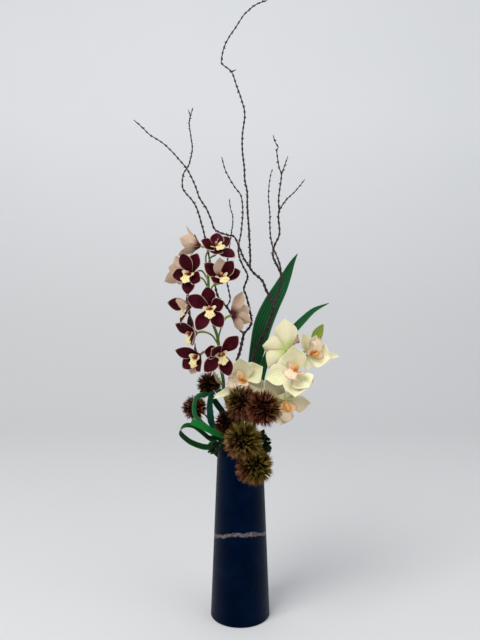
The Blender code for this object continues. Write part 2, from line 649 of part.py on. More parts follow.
def spray_leaf_stalk():
    """Return the stalk of the white spray's small leaf, from the stem to just short of the blade."""
    root, following = (Vector(point[:3]) for point in SPRAY_LEAF[:2])
    way = (following - root).normalized()
    route = smooth_route([WHITE_STEM[-2], (92, -8, 444), root - way * 8, root - way * GAP], 14)
    return tube(route, [PEDICEL_RADIUS] * len(route), PEDICEL_SIDES)


def build_leaves():
    """Add the two strap leaves, which stand in the water, and the small leaf of the white spray."""
    for name, points, across in (("leaf_tall", LEAF_TALL, TALL_ACROSS),
                                 ("leaf_arching", LEAF_ARCHING, ARCHING_ACROSS)):
        x, y, _ = STEM_SPOTS[name]
        route = [Vector((x, y, STEM_FOOT, points[0][3]))] + smooth_route(points, 36)
        add_solid(name, ribbon(route, across, MIDRIB_FOLD), "leaf")
    small = ribbon(smooth_route(SPRAY_LEAF, 10), SPRAY_LEAF_ACROSS, MIDRIB_FOLD)
    add_solid("spray_leaf", small, "spray_leaf")


def tucked_end(angle):
    """Return the two points where a loop goes into the mouth and leans on its wall."""
    way = Vector((math.cos(math.radians(angle)), math.sin(math.radians(angle)), 0))
    low = VASE_HEIGHT - TUCKED_DEPTH
    wall = cavity_radius(low) * math.cos(math.pi / VASE_SIDES)
    seat = way * (wall - GAP - TUCKED_WIDTH / 2) + Vector((0, 0, low))
    inside = way * TUCKED_RADIUS + Vector((0, 0, VASE_HEIGHT))
    return [(*seat, TUCKED_WIDTH), (*inside, LOOP_WIDTH * 0.6)]


def build_grass():
    """Add the grass blades, three bent into loops and one with a cut end, tucked into the mouth."""
    for name, (start_angle, points, end_angle, ways) in LOOPS.items():
        knots = tucked_end(start_angle) + [(*point, LOOP_WIDTH) for point in points]
        if end_angle is not None:
            knots += tucked_end(end_angle)[::-1]
        add_solid(name, ribbon(smooth_route(knots, 18), ways, 0.0), "leaf")


def boxwood_leaf(root, outward, up):
    """Return the rows of one small oval leaf and their normals."""
    side_way = outward.cross(up).normalized()
    rows = []
    for share, width in ((0.0, 0.25), (0.55, 1.0)):
        half = BOXWOOD_LEAF_WIDTH * width / 2
        place = root + outward * BOXWOOD_LEAF_LENGTH * share
        rows.append([place - side_way * half, place + side_way * half])
    rows.append([root + outward * BOXWOOD_LEAF_LENGTH])
    normal = outward.cross(side_way) * -1
    return rows, [normal] * 3


def leaf_fits(rows, neighbours):
    """Tell whether a boxwood leaf keeps clear of the vase and of every finished piece."""
    ends = [rows[1][0], rows[1][1], rows[2][0], (rows[0][0] + rows[2][0]) / 2]
    for place in ends:
        if place.z < VASE_HEIGHT + LEAF_CLEARANCE and place.xy.length < VASE_RIM_RADIUS + LEAF_CLEARANCE:
            return False
        if neighbours.find_nearest(place * MM, LEAF_CLEARANCE * MM)[0] is not None:
            return False
    return True


def build_boxwood(name, points):
    """Add a sprig of boxwood that stands in the water, its leaves in pairs where they have room."""
    route = from_water(name, smooth_route(points, BOXWOOD_STEP))
    shells = [tube(route, [STEM_SPOTS[name][2]] * len(route), 4)]
    neighbours = finished_pieces()
    draw = random.Random(name + "_leaves")
    ways = tangents(route)
    for place, way in zip(route, ways):
        if place.z < VASE_HEIGHT + LEAFY_HEIGHT and place.xy.length < VASE_RIM_RADIUS + 1:
            continue
        spin = draw.uniform(0, 360)
        for turn in (0, 180):
            turned_by = Matrix.Rotation(math.radians(spin + turn), 3, way)
            outward = (turned_by @ way.orthogonal().normalized() + way * 0.5).normalized()
            rows, normals = boxwood_leaf(place - outward * 0.3 - way * 0.8, outward, way)
            if leaf_fits(rows, neighbours):
                shells.append(blade(rows, normals, BLADE_THICKNESS))
    combine(name, shells, "boxwood")


def build_twigs():
    """Add the two twigs that carry the burrs, with a stalk up to each burr's core."""
    for name, (points, radius, stalks) in BURR_TWIGS.items():
        route = from_water(name, smooth_route(points, 18))
        shells = [tube(route, [radius] * len(route), 5)]
        for burr_index, joint in stalks:
            route = smooth_route(stalk_to(burr_index, points[joint]), 14)
            shells.append(tube(route, [STALK_RADIUS] * len(route), STALK_SIDES))
        combine(name, shells, "bark")


def stalk_to(burr_index, start):
    """Return the route of a stalk from a point on its twig to the core of a burr."""
    centre, radius, stalk = BURRS[burr_index]
    way = Vector(stalk).normalized()
    core = radius * BURR_CORE
    end = Vector(centre) + way * (core + GAP)
    return [Vector(start), end + way * radius * 0.5, end]


def burr_faces():
    """Return the points and faces of a ball of 60 triangles, of radius 1.

    Its points are the 12 corners of an icosahedron and the middles of its 20 faces.
    """
    golden = (1 + math.sqrt(5)) / 2
    ring = [(0, a, b * golden) for a in (-1, 1) for b in (-1, 1)]
    corners = [Vector(p).normalized() for x, y, z in ring for p in ((x, y, z), (z, x, y), (y, z, x))]
    count = len(corners)
    near = 1.06
    thirds = []
    for a in range(count):
        for b in range(a + 1, count):
            for c in range(b + 1, count):
                sides = [(corners[i] - corners[j]).length for i, j in ((a, b), (b, c), (c, a))]
                if max(sides) < near:
                    thirds.append({a, b, c})
    points = corners + [sum((corners[i] for i in third), Vector()).normalized() for third in thirds]
    faces = []
    for first in range(len(thirds)):
        for second in range(first + 1, len(thirds)):
            shared = sorted(thirds[first] & thirds[second])
            if len(shared) < 2:
                continue
            for corner in shared:
                a, b, c = corner, count + first, count + second
                if (points[b] - points[a]).cross(points[c] - points[a]).dot(points[a]) < 0:
                    b, c = c, b
                faces.append((a, b, c))
    return points, faces


def crowded(place, centre, neighbours):
    """Tell whether a place lies too near a finished piece or the core of another burr."""
    for other, radius, _ in BURRS:
        apart = (place - Vector(other)).length
        if Vector(other) != centre and apart < radius * BURR_CORE + SPINE_CLEARANCE:
            return True
    return neighbours.find_nearest(place * MM, SPINE_CLEARANCE * MM)[0] is not None


def spine_reach(centre, way, core, full, neighbours):
    """Return how far a spine grows before it comes near a neighbour."""
    reach = core
    step = 1.0
    while reach < full:
        if crowded(centre + way * (reach + step), centre, neighbours):
            return max(core, reach - step)
        reach += step
    return full


def burr_shell(centre, radius, stalk, neighbours, draw):
    """Return a burr: a small core with a spine raised from each of its faces, but for its stalk seat."""
    centre = Vector(centre)
    core = radius * BURR_CORE
    way_down = Vector(stalk).normalized()
    ball, faces = burr_faces()
    turn = ball[0].rotation_difference(way_down)
    corners = [turn @ corner for corner in ball]
    points = [centre + corner * core for corner in corners]
    solid = []
    for face in faces:
        middle = sum((corners[i] for i in face), Vector()).normalized()
        way = (middle + Vector([draw.uniform(-0.12, 0.12) for _ in range(3)])).normalized()
        full = radius * draw.uniform(0.86, 1.0)
        tip_reach = spine_reach(centre, way, core, full, neighbours)
        if middle.dot(way_down) > STALK_CONE or tip_reach < core + 1.5:
            solid.append(face)
            continue
        flat = sum((points[i] for i in face), Vector()) / 3
        size = sum((points[i] - flat).length for i in face) / 3
        inner = []
        for corner in face:
            inner.append(len(points))
            points.append(flat + (points[corner] - flat) * (SPINE_WIDTH / 2 / size))
        tip = len(points)
        points.append(centre + way * tip_reach)
        for i in range(3):
            j = (i + 1) % 3
            solid += [(face[i], face[j], inner[j]), (face[i], inner[j], inner[i])]
            solid.append((inner[i], inner[j], tip))
    return points, solid


def finished_pieces():
    """Return a search tree of everything that was built so far."""
    graph = bpy.context.evaluated_depsgraph_get()
    points = []
    faces = []
    for obj in bpy.context.scene.objects:
        offset = len(points)
        mesh = obj.evaluated_get(graph).data
        points += [vertex.co.copy() for vertex in mesh.vertices]
        faces += [[offset + i for i in face.vertices] for face in mesh.polygons]
    return BVHTree.FromPolygons(points, faces)


def build_burrs():
    """Add the burrs. Each spine stops short of what was built before it."""
    draw = random.Random(7)
    for number, (centre, radius, stalk) in enumerate(BURRS, 1):
        shell = burr_shell(centre, radius, stalk, finished_pieces(), draw)
        add_solid(f"burr_{number}", shell, "burr")


def shade_round_pieces():
    """Shade every piece smooth, with its sharp edges kept."""
    for obj in bpy.context.scene.objects:
        obj.data.shade_smooth()
        obj.data.set_sharp_from_angle(angle=math.radians(50))


def main():
    """Build the arrangement, the burrs last because their spines keep clear of the rest."""
    clear_scene()
    build_vase()
    build_water()
    build_branch("branch_a", BRANCH_A)
    build_branch("branch_b", BRANCH_B)
    build_spray("burgundy")
    build_spray("white")
    build_leaves()
    build_grass()
    for name, points in BOXWOOD.items():
        build_boxwood(name, points)
    build_twigs()
    build_burrs()
    shade_round_pieces()


main()
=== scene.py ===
"""The looks of the orchid arrangement: finer petals, burrs, bark, leaves and stone round the CAD frame.

Lengths in the tables are in millimetres, in the frame of the CAD model. MM turns them into metres.
Routes and places are those of the CAD model, so that each finer piece lies where its node lies.
"""

import math
import random

import bpy
import numpy as np
from mathutils import Matrix, Vector
from mathutils.bvhtree import BVHTree


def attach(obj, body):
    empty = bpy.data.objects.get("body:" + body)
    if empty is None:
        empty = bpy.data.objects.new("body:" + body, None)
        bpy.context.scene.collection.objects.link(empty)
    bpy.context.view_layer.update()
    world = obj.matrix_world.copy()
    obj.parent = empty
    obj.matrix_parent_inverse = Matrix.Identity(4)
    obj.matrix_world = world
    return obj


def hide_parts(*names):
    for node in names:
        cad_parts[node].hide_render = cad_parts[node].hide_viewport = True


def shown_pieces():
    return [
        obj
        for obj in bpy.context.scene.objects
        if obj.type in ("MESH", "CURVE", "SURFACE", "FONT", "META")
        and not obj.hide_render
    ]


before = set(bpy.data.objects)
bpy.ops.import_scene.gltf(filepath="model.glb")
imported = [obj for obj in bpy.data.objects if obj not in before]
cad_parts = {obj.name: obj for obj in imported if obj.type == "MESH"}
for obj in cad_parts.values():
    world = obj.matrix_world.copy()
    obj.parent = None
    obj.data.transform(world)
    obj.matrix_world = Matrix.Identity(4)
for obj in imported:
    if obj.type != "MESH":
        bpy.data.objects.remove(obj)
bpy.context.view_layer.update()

MM = 0.001

# An edge of a mesh sharper than this, in degrees, is shaded as an edge
SHARP_ANGLE = 60

# Vase
VASE_HEIGHT = 300.0
VASE_BASE_RADIUS = 50.0
VASE_RIM_RADIUS = 37.5
VASE_EDGE = 1.5
MOUTH_RADIUS = 30.0
CAVITY_FLOOR = 20.0
CAVITY_RADIUS = 40.0
CAVITY_CORNER = 4.0
VASE_SIDES = 192
EDGE_STEPS = 6
CAVITY_STEPS = 24
WALL_STEPS = 60
STEM_FOOT = 30.0
# The pale vein round the vase: its height at the middle, and how much it climbs forward and rightward
VEIN_HEIGHT = 137.0
VEIN_CLIMB_FORWARD = 0.35
VEIN_CLIMB_RIGHT = 0.05
VEIN_HALF_WIDTH = 3.4

# Where each stem stands in the water: x, y and its radius there
STEM_SPOTS = {
    "branch_a": (10, 7, 3.0),
    "branch_b": (-6, 8, 2.8),
    "burgundy_stem": (-9, -9, 3.3),
    "white_stem": (9, -9, 3.3),
    "burr_twig_front": (0, -17, 2.0),
    "burr_twig_left": (-17, 1, 1.8),
    "leaf_tall": (9, 20, 2.8),
    "leaf_arching": (20, 6, 2.8),
    "boxwood_left": (-24, 9, 1.0),
    "boxwood_front": (9, -23, 1.0),
    "boxwood_right": (24, -7, 1.0),
    "boxwood_back": (-5, 24, 1.0),
}

# Branches: each limb is its route and its radius at both ends
BRANCHES = {
    "branch_a": [
        ([(10, 7, 260), (11, 7, 300), (12, 7, 360), (16, 8, 400), (20, 8, 423), (26, 9, 450),
          (36, 9, 469), (45, 7, 486), (51, 4, 503), (57, 0, 527)], 3.0, 2.5),
        ([(57, 0, 527), (44, 3, 549), (37, 6, 566), (23, 9, 579), (16, 10, 588)], 2.3, 1.8),
        ([(16, 10, 588), (17, 11, 603), (16, 13, 629), (14, 16, 663), (12, 18, 690), (12, 20, 715),
          (8, 22, 735), (7, 24, 757), (4, 26, 784), (4, 28, 811), (8, 30, 846), (2, 32, 872),
          (-5, 32, 891), (-14, 30, 915), (-28, 28, 926), (-31, 27, 932), (-27, 24, 952), (-18, 20, 969),
          (-6, 14, 984), (7, 6, 1000), (25, -4, 1011), (43, -14, 1014)], 1.6, 0.8),
        ([(-14, 30, 915), (-10, 31, 918), (-6, 32, 920)], 0.9, 0.6),
        ([(16, 10, 588), (6, 8, 604), (-1, 6, 621), (-10, 4, 639), (-22, 2, 642), (-41, -2, 650),
          (-48, -6, 667), (-56, -10, 685), (-66, -14, 700), (-74, -18, 722), (-85, -24, 744),
          (-95, -28, 756), (-108, -34, 770), (-123, -40, 783), (-142, -48, 794), (-152, -52, 803),
          (-165, -58, 814)], 1.6, 0.7),
        ([(57, 0, 527), (64, -3, 547), (68, -6, 572), (61, -5, 591), (54, -5, 607), (56, -7, 623),
          (64, -12, 643), (62, -14, 670), (63, -15, 680), (62, -18, 696), (63, -20, 710), (66, -24, 736),
          (62, -26, 748), (58, -30, 772), (60, -31, 779), (55, -32, 787), (52, -34, 797)], 2.0, 0.7),
        ([(66, -24, 736), (74, -18, 759), (77, -16, 767)], 1.0, 0.6),
        ([(63, -15, 680), (74, -8, 697), (91, 2, 714), (108, 12, 735)], 1.1, 0.6),
        ([(68, -6, 572), (65, -12, 592), (58, -15, 610), (52, -12, 625), (49, -4, 648), (49, 2, 676),
          (47, 8, 708), (50, 14, 738), (54, 16, 752)], 1.4, 0.6),
    ],
    "branch_b": [
        ([(-6, 8, 260), (-8, 8, 300), (-14, 7, 345), (-16, 5, 374), (-15, 5, 393), (-10, 4, 417),
          (-4, 4, 437), (1, 3, 454), (6, 2, 478)], 2.8, 2.2),
        ([(6, 2, 478), (-7, 0, 493), (-16, 0, 513), (-23, 2, 523), (-36, 4, 538), (-42, 6, 559),
          (-50, 10, 598), (-60, 14, 644), (-65, 16, 663), (-72, 20, 686), (-81, 23, 702), (-96, 28, 721),
          (-96, 32, 745), (-87, 36, 762), (-81, 40, 788), (-83, 42, 809), (-86, 45, 836), (-80, 47, 861)],
          1.9, 0.7),
        ([(-86, 45, 836), (-85, 46, 847), (-88, 48, 858)], 0.8, 0.6),
        ([(-23, 2, 523), (-17, 6, 536), (-22, 10, 563), (-24, 12, 581), (-20, 15, 608), (-16, 18, 636),
          (-12, 20, 669), (-16, 22, 688), (-18, 23, 704)], 1.2, 0.6),
        ([(6, 2, 478), (18, -2, 494), (16, -4, 516), (10, -6, 541), (6, -7, 553), (12, -8, 574),
          (5, -10, 589), (-2, -11, 607), (-3, -11, 623), (1, -11, 643), (3, -12, 662), (4, -12, 680),
          (1, -14, 704), (-10, -17, 719), (-23, -22, 741), (-28, -26, 756), (-30, -27, 764)], 1.8, 0.7),
    ],
}
# The plain part of a branch in the water: its steps, and how thick it is for the branch's radius
FOOT_STEPS = 8
FOOT_FULLNESS = 0.95
# Bark: its knobs, how uneven it is, and how thick a twig's body and tip are for its radius
KNOB_PITCH = 9.0
KNOB_LENGTH = 3.4
KNOB_SWELL = 0.75
BARK_STEP = 1.1
BARK_SIDES = 9
BARK_UNEVEN = 0.04
BARK_FULLNESS = 0.9
BARK_TIP = 0.6
# Spurs: the distance and radius of each section, its lean along the twig, and how deep it sits
SPUR = [(0.0, 0.9), (1.2, 0.95), (2.1, 0.85), (2.7, 0.35)]
SPUR_SIDES = 6
SPUR_SIZES = (0.7, 1.15)
SPUR_LEAN = 0.35
SPUR_SEAT = 0.4

# Flowering stems, their pedicels and the dry bract low on the burgundy one, with its width at each point
STEMS = {
    "burgundy": [(-9, -9, 260), (-9, -9, 300), (-12, -9, 335), (-21, -15, 362), (-27, -22, 384),
                 (-28, -26, 404), (-32, -30, 428), (-35, -33, 461), (-38, -34, 479), (-45, -34, 500),
                 (-49, -33, 522), (-51, -32, 548), (-52, -31, 571), (-53, -30, 590)],
    "white": [(9, -9, 260), (10, -9, 300), (18, -12, 335), (26, -15, 352), (36, -19, 377), (50, -24, 392),
              (61, -26, 401), (71, -28, 414), (78, -28, 431), (80, -27, 445)],
}
STEM_RADIUS = 3.3
STEM_TIP_RADIUS = 2.0
STEM_STEP = 2.5
STEM_SIDES = 16
PEDICEL_RADIUS = 1.5
PEDICEL_SWELL = [(0, 1.3), (0.1, 0.9), (0.5, 0.95), (0.85, 1.35), (1, 1.2)]
STALK_STEP = 2.0
STALK_SIDES = 12
LEAF_STALK_BEND = (92, -8, 444)
DRY_BRACT = [(-28, -25, 396, 3), (-35, -32, 404, 7), (-40, -37, 413, 5), (-44, -39, 421, 1)]
DRY_BRACT_ACROSS = (0.6, -0.5, 0.5)
SMALL_BRACT_LENGTH = 9
SMALL_BRACT_WIDTHS = (4.0, 3.4, 0.3)
SMALL_BRACT_FOLD = 0.5
BRACT_STEP = 1.5

# Blooms: centre, the way the bloom faces, its roll in degrees, the height on the stem where its
# pedicel leaves, and where the tips of its three sepals and two petals lie as seen from the centre
BLOOMS = {
    "burgundy": [
        ((-67, -21, 623), (-0.85, 0.3, 0.3), 0, 578,
         [(-21, 4, 33), (-31, -8, 12), (-34, -2, -16), (-14, 33, 14), (-16, 30, -16)]),
        ((-39, -38, 616), (0.1, -0.75, 0.65), 30, 585,
         [(31, -12, -13), (2, 10, 28), (0, -34, -10), (22, 8, 20), (-24, -10, 14)]),
        ((-80, -30, 577), (-0.35, -0.9, 0.1), -15, 552,
         [(-14, -8, 34), (12, -6, 34), (-5, -10, -34), (17, -26, -12), (-30, -9, -4)]),
        ((-91, -2, 580), (-0.7, 0.6, 0.1), 10, 565,
         [(-34, -6, -15), (-16, 4, 28), (-6, 32, 14), (-27, -8, 9), (-8, 28, -20)]),
        ((-31, -44, 569), (0.1, -0.85, 0.5), 20, 540,
         [(-2, -8, 34), (-27, -10, 25), (32, 2, 13), (20, -10, 29), (-12, -30, -6)]),
        ((-82, -30, 526), (-0.85, -0.45, -0.1), 0, 505,
         [(-37, 6, 5), (-14, -14, -29), (-6, 24, 20), (-20, -26, 8), (0, 24, -22)]),
        ((-48, -52, 523), (-0.08, -1.0, 0.05), 5, 515,
         [(-5, -6, 35), (-22, -4, -36), (20, -8, -31), (-37, -6, 19), (23, -24, 11)]),
        ((-73, -35, 482), (-0.85, -0.5, -0.1), 0, 462,
         [(-33, 4, 15), (-4, -22, -17), (-10, 28, -18), (-10, 10, 30), (2, -32, 2)]),
        ((-67, -42, 447), (-0.6, -0.75, -0.2), -10, 412,
         [(-38, -6, 9), (-13, 5, -32), (4, -26, -24), (-8, 26, 12), (-27, 6, -22)]),
        ((-31, -54, 452), (0.05, -0.98, -0.1), 16, 440,
         [(28, -8, 28), (-27, -6, -30), (14, -8, -37), (-14, -32, 10), (-27, -7, 3)]),
        ((-13, -28, 511), (0.6, 0.6, 0.25), 0, 472,
         [(16, 2, 38), (31, -4, -11), (0, 33, 17), (29, 4, 11), (15, -4, -26)]),
    ],
    "white": [
        ((8, -30, 404), (-0.35, -0.85, 0.3), -55, 372,
         [(-10, -8, 38), (-52, -26, -25), (30, -12, -24), (28, -16, 25), (-24, 12, 16)]),
        ((76, -22, 453), (0.1, 0.85, 0.3), -139, 438,
         [(-4, 0, 52), (-31, -6, -29), (-16, -12, -39), (-40, 2, 7), (-6, 33, -20)]),
        ((113, -20, 445), (0.5, -0.85, 0.2), 165, 438,
         [(-12, -4, 36), (51, 4, -3), (-6, -10, -25), (13, 6, 32), (34, -14, -4)]),
        ((88, -46, 418), (-0.05, -0.8, 0.5), -38, 425,
         [(-6, -16, 47), (-3, -28, -34), (-49, 2, -8), (30, -14, -13), (19, -24, -20)]),
        ((73, -30, 370), (0.15, -0.75, -0.55), 0, 394,
         [(42, -4, -2), (-8, -8, -38), (-30, -12, -26), (-33, -7, 36), (4, -8, 18)]),
    ],
}
# Petals of another width than the rest, as a share: the bloom, then the place of the petal's tip
PETAL_WIDTHS = {
    "burgundy_bloom_01": {0: 0.55},
    "white_bloom_01": {1: 0.35, 4: 0.6},
    "white_bloom_02": {2: 0.4, 4: 0.6},
    "white_bloom_03": {0: 0.6, 1: 0.35, 2: 0.5, 3: 0.6, 4: 1.1},
    "white_bloom_04": {3: 0.4},
}
# Petals that are pale in front as well as behind, and how pale they are
PALE_PETALS = {
    "burgundy_bloom_05": {0: 0.9},
    "burgundy_bloom_09": {1: 0.8},
    "white_bloom_03": {0: 0.8, 2: 0.9},
    "white_bloom_05": {0: 0.9, 1: 0.9, 2: 0.9, 3: 0.9, 4: 0.6},
}
# Petal width and the length of the lip for each kind
BLOOM_SIZES = {"burgundy": (23, 22), "white": (38, 33)}
# How far a petal curls back, or forward where it is above 0, in degrees, and how deep its cup is
PETAL_CURL = {"burgundy": (-25, -10), "white": (10, 40)}
PETAL_CUP = {"burgundy": (0.12, 0.3), "white": (0.35, 0.65)}
HUB_DEPTH = 3.5
PETAL_ROOT = 2.6
SEPAL_SEAT = -2.5
PETAL_SEAT = -0.6
SEPALS = 3
PETAL_ROWS = 22
PETAL_COLUMNS = 15
PETAL_THICKNESS = 0.8
EDGE_THINNING = 0.45
# Where a petal's edge starts to roll back and how far, the groove along its middle, and its waves
ROLL_START = 0.7
PETAL_ROLL = 0.22
GROOVE_DEPTH = 0.5
GROOVE_WIDTH = 0.13
PETAL_WAVES = 11
WAVE_HEIGHT = 0.35 / 9
# The hub behind the petals, its radius at shares of its depth
HUB_TOP = 0.4
HUB_RINGS = 8
HUB_SIDES = 18
HUB_RADII = [(0, 1.5), (0.35, 2.9), (0.8, 3.3), (1, 2.2)]
# Lip and column, at shares of their length, for a lip 15 mm long
LIP_MODEL_LENGTH = 15
LIP_ROWS = 26
LIP_COLUMNS = 21
LIP_HALF_WIDTHS = [(0, 1.6), (0.22, 4.6), (0.36, 8.0), (0.46, 8.4), (0.56, 4.2), (0.66, 4.0), (0.84, 6.0),
                   (1, 1.6)]
LIP_ROLLS = [(0, 1.6), (0.22, 1.6), (0.36, 1.2), (0.46, 0.85), (0.58, 0.3), (0.68, 0.1), (0.85, -0.4),
             (1, -0.5)]
LEAST_ROLL = 0.05
LIP_RIDGES = [(0, 0), (0.15, 1), (0.5, 1), (0.66, 0), (1, 0)]
LIP_FRILLS = [(0, 0), (0.55, 0.1), (0.8, 1), (1, 0.8)]
COLUMN_ROOT = (0, -0.6, 0.2)
COLUMN_ROUTE = [(1.5, 0.3), (2.0, 0.55), (1.2, 0.75)]
COLUMN_RADII = [(0, 1.9), (0.3, 1.5), (0.7, 1.6), (0.88, 1.9), (0.96, 1.5), (1, 0.5)]
COLUMN_STEP = 0.5
COLUMN_SIDES = 14
COLUMN_FLATTEN = 0.82

# Burrs: centre, radius over the spines, the way its stalk lies, how olive its tips are, on which
# side they are olive, and the colour that tints it all, partly the burr's own tone and partly
# painted shade: the first and fifth burrs are tinted darker as painted shade
BURRS = [
    ((-52, 8, 392), 24, (0.1, 0.1, -1), 0.4, (-0.2, 0, -1), (0.95, 0.8, 0.8)),
    ((-76, 2, 353), 24, (0.8, 0.2, -0.6), 0.1, (0.9, 0, 0), (1.2, 0.9, 0.9)),
    ((3, -57, 372), 33, (0.1, 0.6, -0.8), 0.28, (-0.7, 0, 0.3), (1.1, 1.0, 1.05)),
    ((35, -75, 367), 33, (-0.6, 0.5, -0.6), 0.25, (1.0, 0, 0.0), (1.15, 0.85, 0.85)),
    # The fifth burr's dark tint is painted shade
    ((-22, -46, 338), 23, (0.63, 0.52, -0.58), 0.1, (0, 0, 1), (0.4, 0.28, 0.3)),
    ((4, -77, 316), 34, (0.1, 0.9, 0.3), 0.75, (0.7, 0, 0.8), (1.25, 1.18, 1.25)),
    ((22, -72, 275), 34, (-0.1, 0.5, 0.85), 0.65, (0.7, 0, 0.5), (1.2, 1.12, 1.0)),
]
# Twigs of the burrs: route, radius, and each burr's place in the list with the joint of its stalk
BURR_TWIGS = {
    "burr_twig_front": (
        [(0, -17, 260), (0, -18, 296), (1, -27, 318), (4, -34, 326)], 2.0,
        [(2, 2), (3, 3), (4, 2), (5, 2), (6, 3)]),
    "burr_twig_left": (
        [(-17, 1, 260), (-18, 1, 300), (-31, 1, 318), (-44, 5, 324), (-54, 6, 334)], 1.8,
        [(0, 3), (1, 4)]),
}
BURR_STALK_RADIUS = 1.4
# The core's radius as a share of the burr's
BURR_CORE = 0.5
CORE_RINGS = 14
CORE_SIDES = 24
# Tufts: their number on a burr of a given radius, the gap for its stalk, and how they vary
SPINE_TUFTS = 250
TUFTED_RADIUS = 31
STALK_GAP = 0.93
TUFT_LEAN = 0.05
TUFT_LENGTHS = (0.87, 1.0)
OLIVE_CHANGE = 0.45
# Spines: their number in a tuft, their size, how they vary, and how they keep clear of neighbours
SPINES_PER_TUFT = 6
SPINE_WIDTH = 1.35
SPINE_OVERSHOOT = 1.06
SPINE_SPREAD = 0.055
SPINE_BEND = 0.03
SPINE_LENGTHS = (0.82, 1.0)
SHORTEST_SPINE = 2
SPINE_STEP = 1.5
SPINE_CLEARANCE = 0.8
# A spine's two three-sided sections, as shares of its length and width, its faces, and its points' shares
SPINE_SECTIONS = [(0.0, 1.0), (0.55, 0.7)]
SPINE_FACES = [(0, 1, 4, 3), (1, 2, 5, 4), (2, 0, 3, 5), (3, 4, 6), (4, 5, 6), (5, 3, 6), (2, 1, 0)]
SPINE_SHARES = [0.0, 0.0, 0.0, 0.55, 0.55, 0.55, 1.0]

# Leaves: each point of the route with the width there, the way across the blade, the distance between
# rows of its mesh, its columns, and its slot
LEAVES = {
    "leaf_tall": (
        [(9, 20, 260, 5), (10, 21, 300, 5), (15, 26, 360, 10), (22, 30, 411, 19), (29, 32, 448, 26),
         (39, 33, 491, 32), (53, 32, 525, 30), (67, 30, 551, 25), (79, 28, 576, 17), (88, 25, 596, 9),
         (97, 22, 612, 1)], (0.87, 0.1, -0.48), 4.0, 21, "leaf"),
    "leaf_arching": (
        [(20, 6, 260, 5), (22, 8, 300, 5), (27, 15, 347, 9), (34, 20, 390, 13), (42, 22, 424, 14),
         (55, 22, 449, 15), (71, 19, 466, 15), (89, 15, 482, 14), (106, 12, 500, 12),
         (124, 8, 517, 8), (148, 4, 529, 1)], (0.5, -0.3, -0.75), 4.0, 21, "leaf"),
    "spray_leaf": (
        [(122, 18, 455, 2), (127, 19, 464, 14), (132, 19, 476, 18), (137, 18, 486, 11),
         (141, 17, 493, 1)], (0.9, -0.3, -0.3), 1.5, 13, "spray_leaf"),
}
MIDRIB_FOLD = 0.3
LEAF_THICKNESS = 0.8
LEAF_ROUGHNESS = 0.38

# Grass: the angle at the mouth where each end is tucked in, or none for an end that was cut, the
# route between, and the ways across the blade, blended along it
LOOPS = {
    "loop_low": (
        203, [(-33, -11, 307), (-43, -15, 305), (-52, -19, 307), (-60, -21, 314), (-69, -23, 322),
              (-77, -25, 328), (-86, -27, 330), (-93, -28, 328), (-98, -27, 322), (-97, -24, 315),
              (-90, -21, 307), (-82, -17, 300), (-71, -13, 294), (-60, -10, 290), (-51, -8, 290),
              (-44, -6, 298), (-38, -5, 307), (-30, -4, 310)], 187,
        [(0.1, 0.6, 0.8), (0.3, 0.9, 0.4), (0.15, 0.6, 0.8), (0.0, 0.5, 0.85)]),
    "loop_back": (
        140, [(-27, 12, 325), (-30, 6, 345), (-37, 0, 357), (-45, -6, 369), (-53, -12, 376),
              (-60, -18, 378), (-68, -24, 378), (-72, -28, 374), (-74, -30, 368), (-75, -31, 357),
              (-73, -31, 347), (-67, -30, 339), (-56, -27, 327), (-45, -20, 317), (-34, -16, 313)], 218,
        [(0.9, 0.2, 0.3), (0.85, 0.2, 0.45), (0.3, 0.6, -0.6), (0.8, 0.55, -0.1), (0.5, 0.85, 0.0)]),
    "loop_front": (
        233, [(-27, -24, 311), (-38, -26, 320), (-46, -28, 332), (-49, -32, 341), (-50, -35, 354),
              (-50, -36, 365), (-49, -36, 375), (-47, -36, 383), (-42, -35, 387), (-36, -34, 389),
              (-29, -34, 386), (-23, -32, 376), (-18, -29, 362), (-15, -27, 345), (-12, -26, 327),
              (-8, -25, 312)], 260,
        [(0.8, 0.5, 0.3), (1.0, 0.2, 0.0), (0.9, 0.4, 0.1), (0.4, 0.85, 0.3), (0.3, 0.95, 0.1),
         (0.3, 0.95, 0.1)]),
    "grass_front": (
        247, [(-21, -33, 311), (-36, -38, 319), (-51, -42, 326), (-65, -45, 334), (-79, -47, 341)], None,
        [(0.4, 0.2, 0.85)]),
}
LOOP_WIDTH = 10.0
LOOP_STEP = 2.0
LOOP_COLUMNS = 11
LOOP_SAG = 0.12
# Where a blade leans on the inside of the mouth
TUCKED_WIDTH = 1.2
TUCKED_GAP = 1.2
TUCKED_DEPTH = 18.0
TUCKED_RADIUS = 22.0

# Boxwood: route of each sprig
BOXWOOD = {
    "boxwood_left": [(-24, 9, 260), (-24, 9, 292), (-26, 10, 303), (-36, 11, 307), (-43, 8, 301),
                     (-46, 4, 291), (-47, 2, 282)],
    "boxwood_front": [(9, -23, 260), (9, -23, 292), (5, -27, 302), (-6, -34, 305), (-19, -36, 302),
                      (-31, -31, 299), (-40, -25, 292), (-43, -22, 282)],
    "boxwood_right": [(24, -7, 260), (24, -7, 292), (28, -9, 303), (35, -17, 311), (40, -24, 307),
                      (43, -28, 298), (43, -31, 289)],
    "boxwood_back": [(-5, 24, 260), (-5, 24, 292), (-6, 27, 304), (-4, 34, 316), (2, 39, 328),
                     (8, 41, 341)],
}
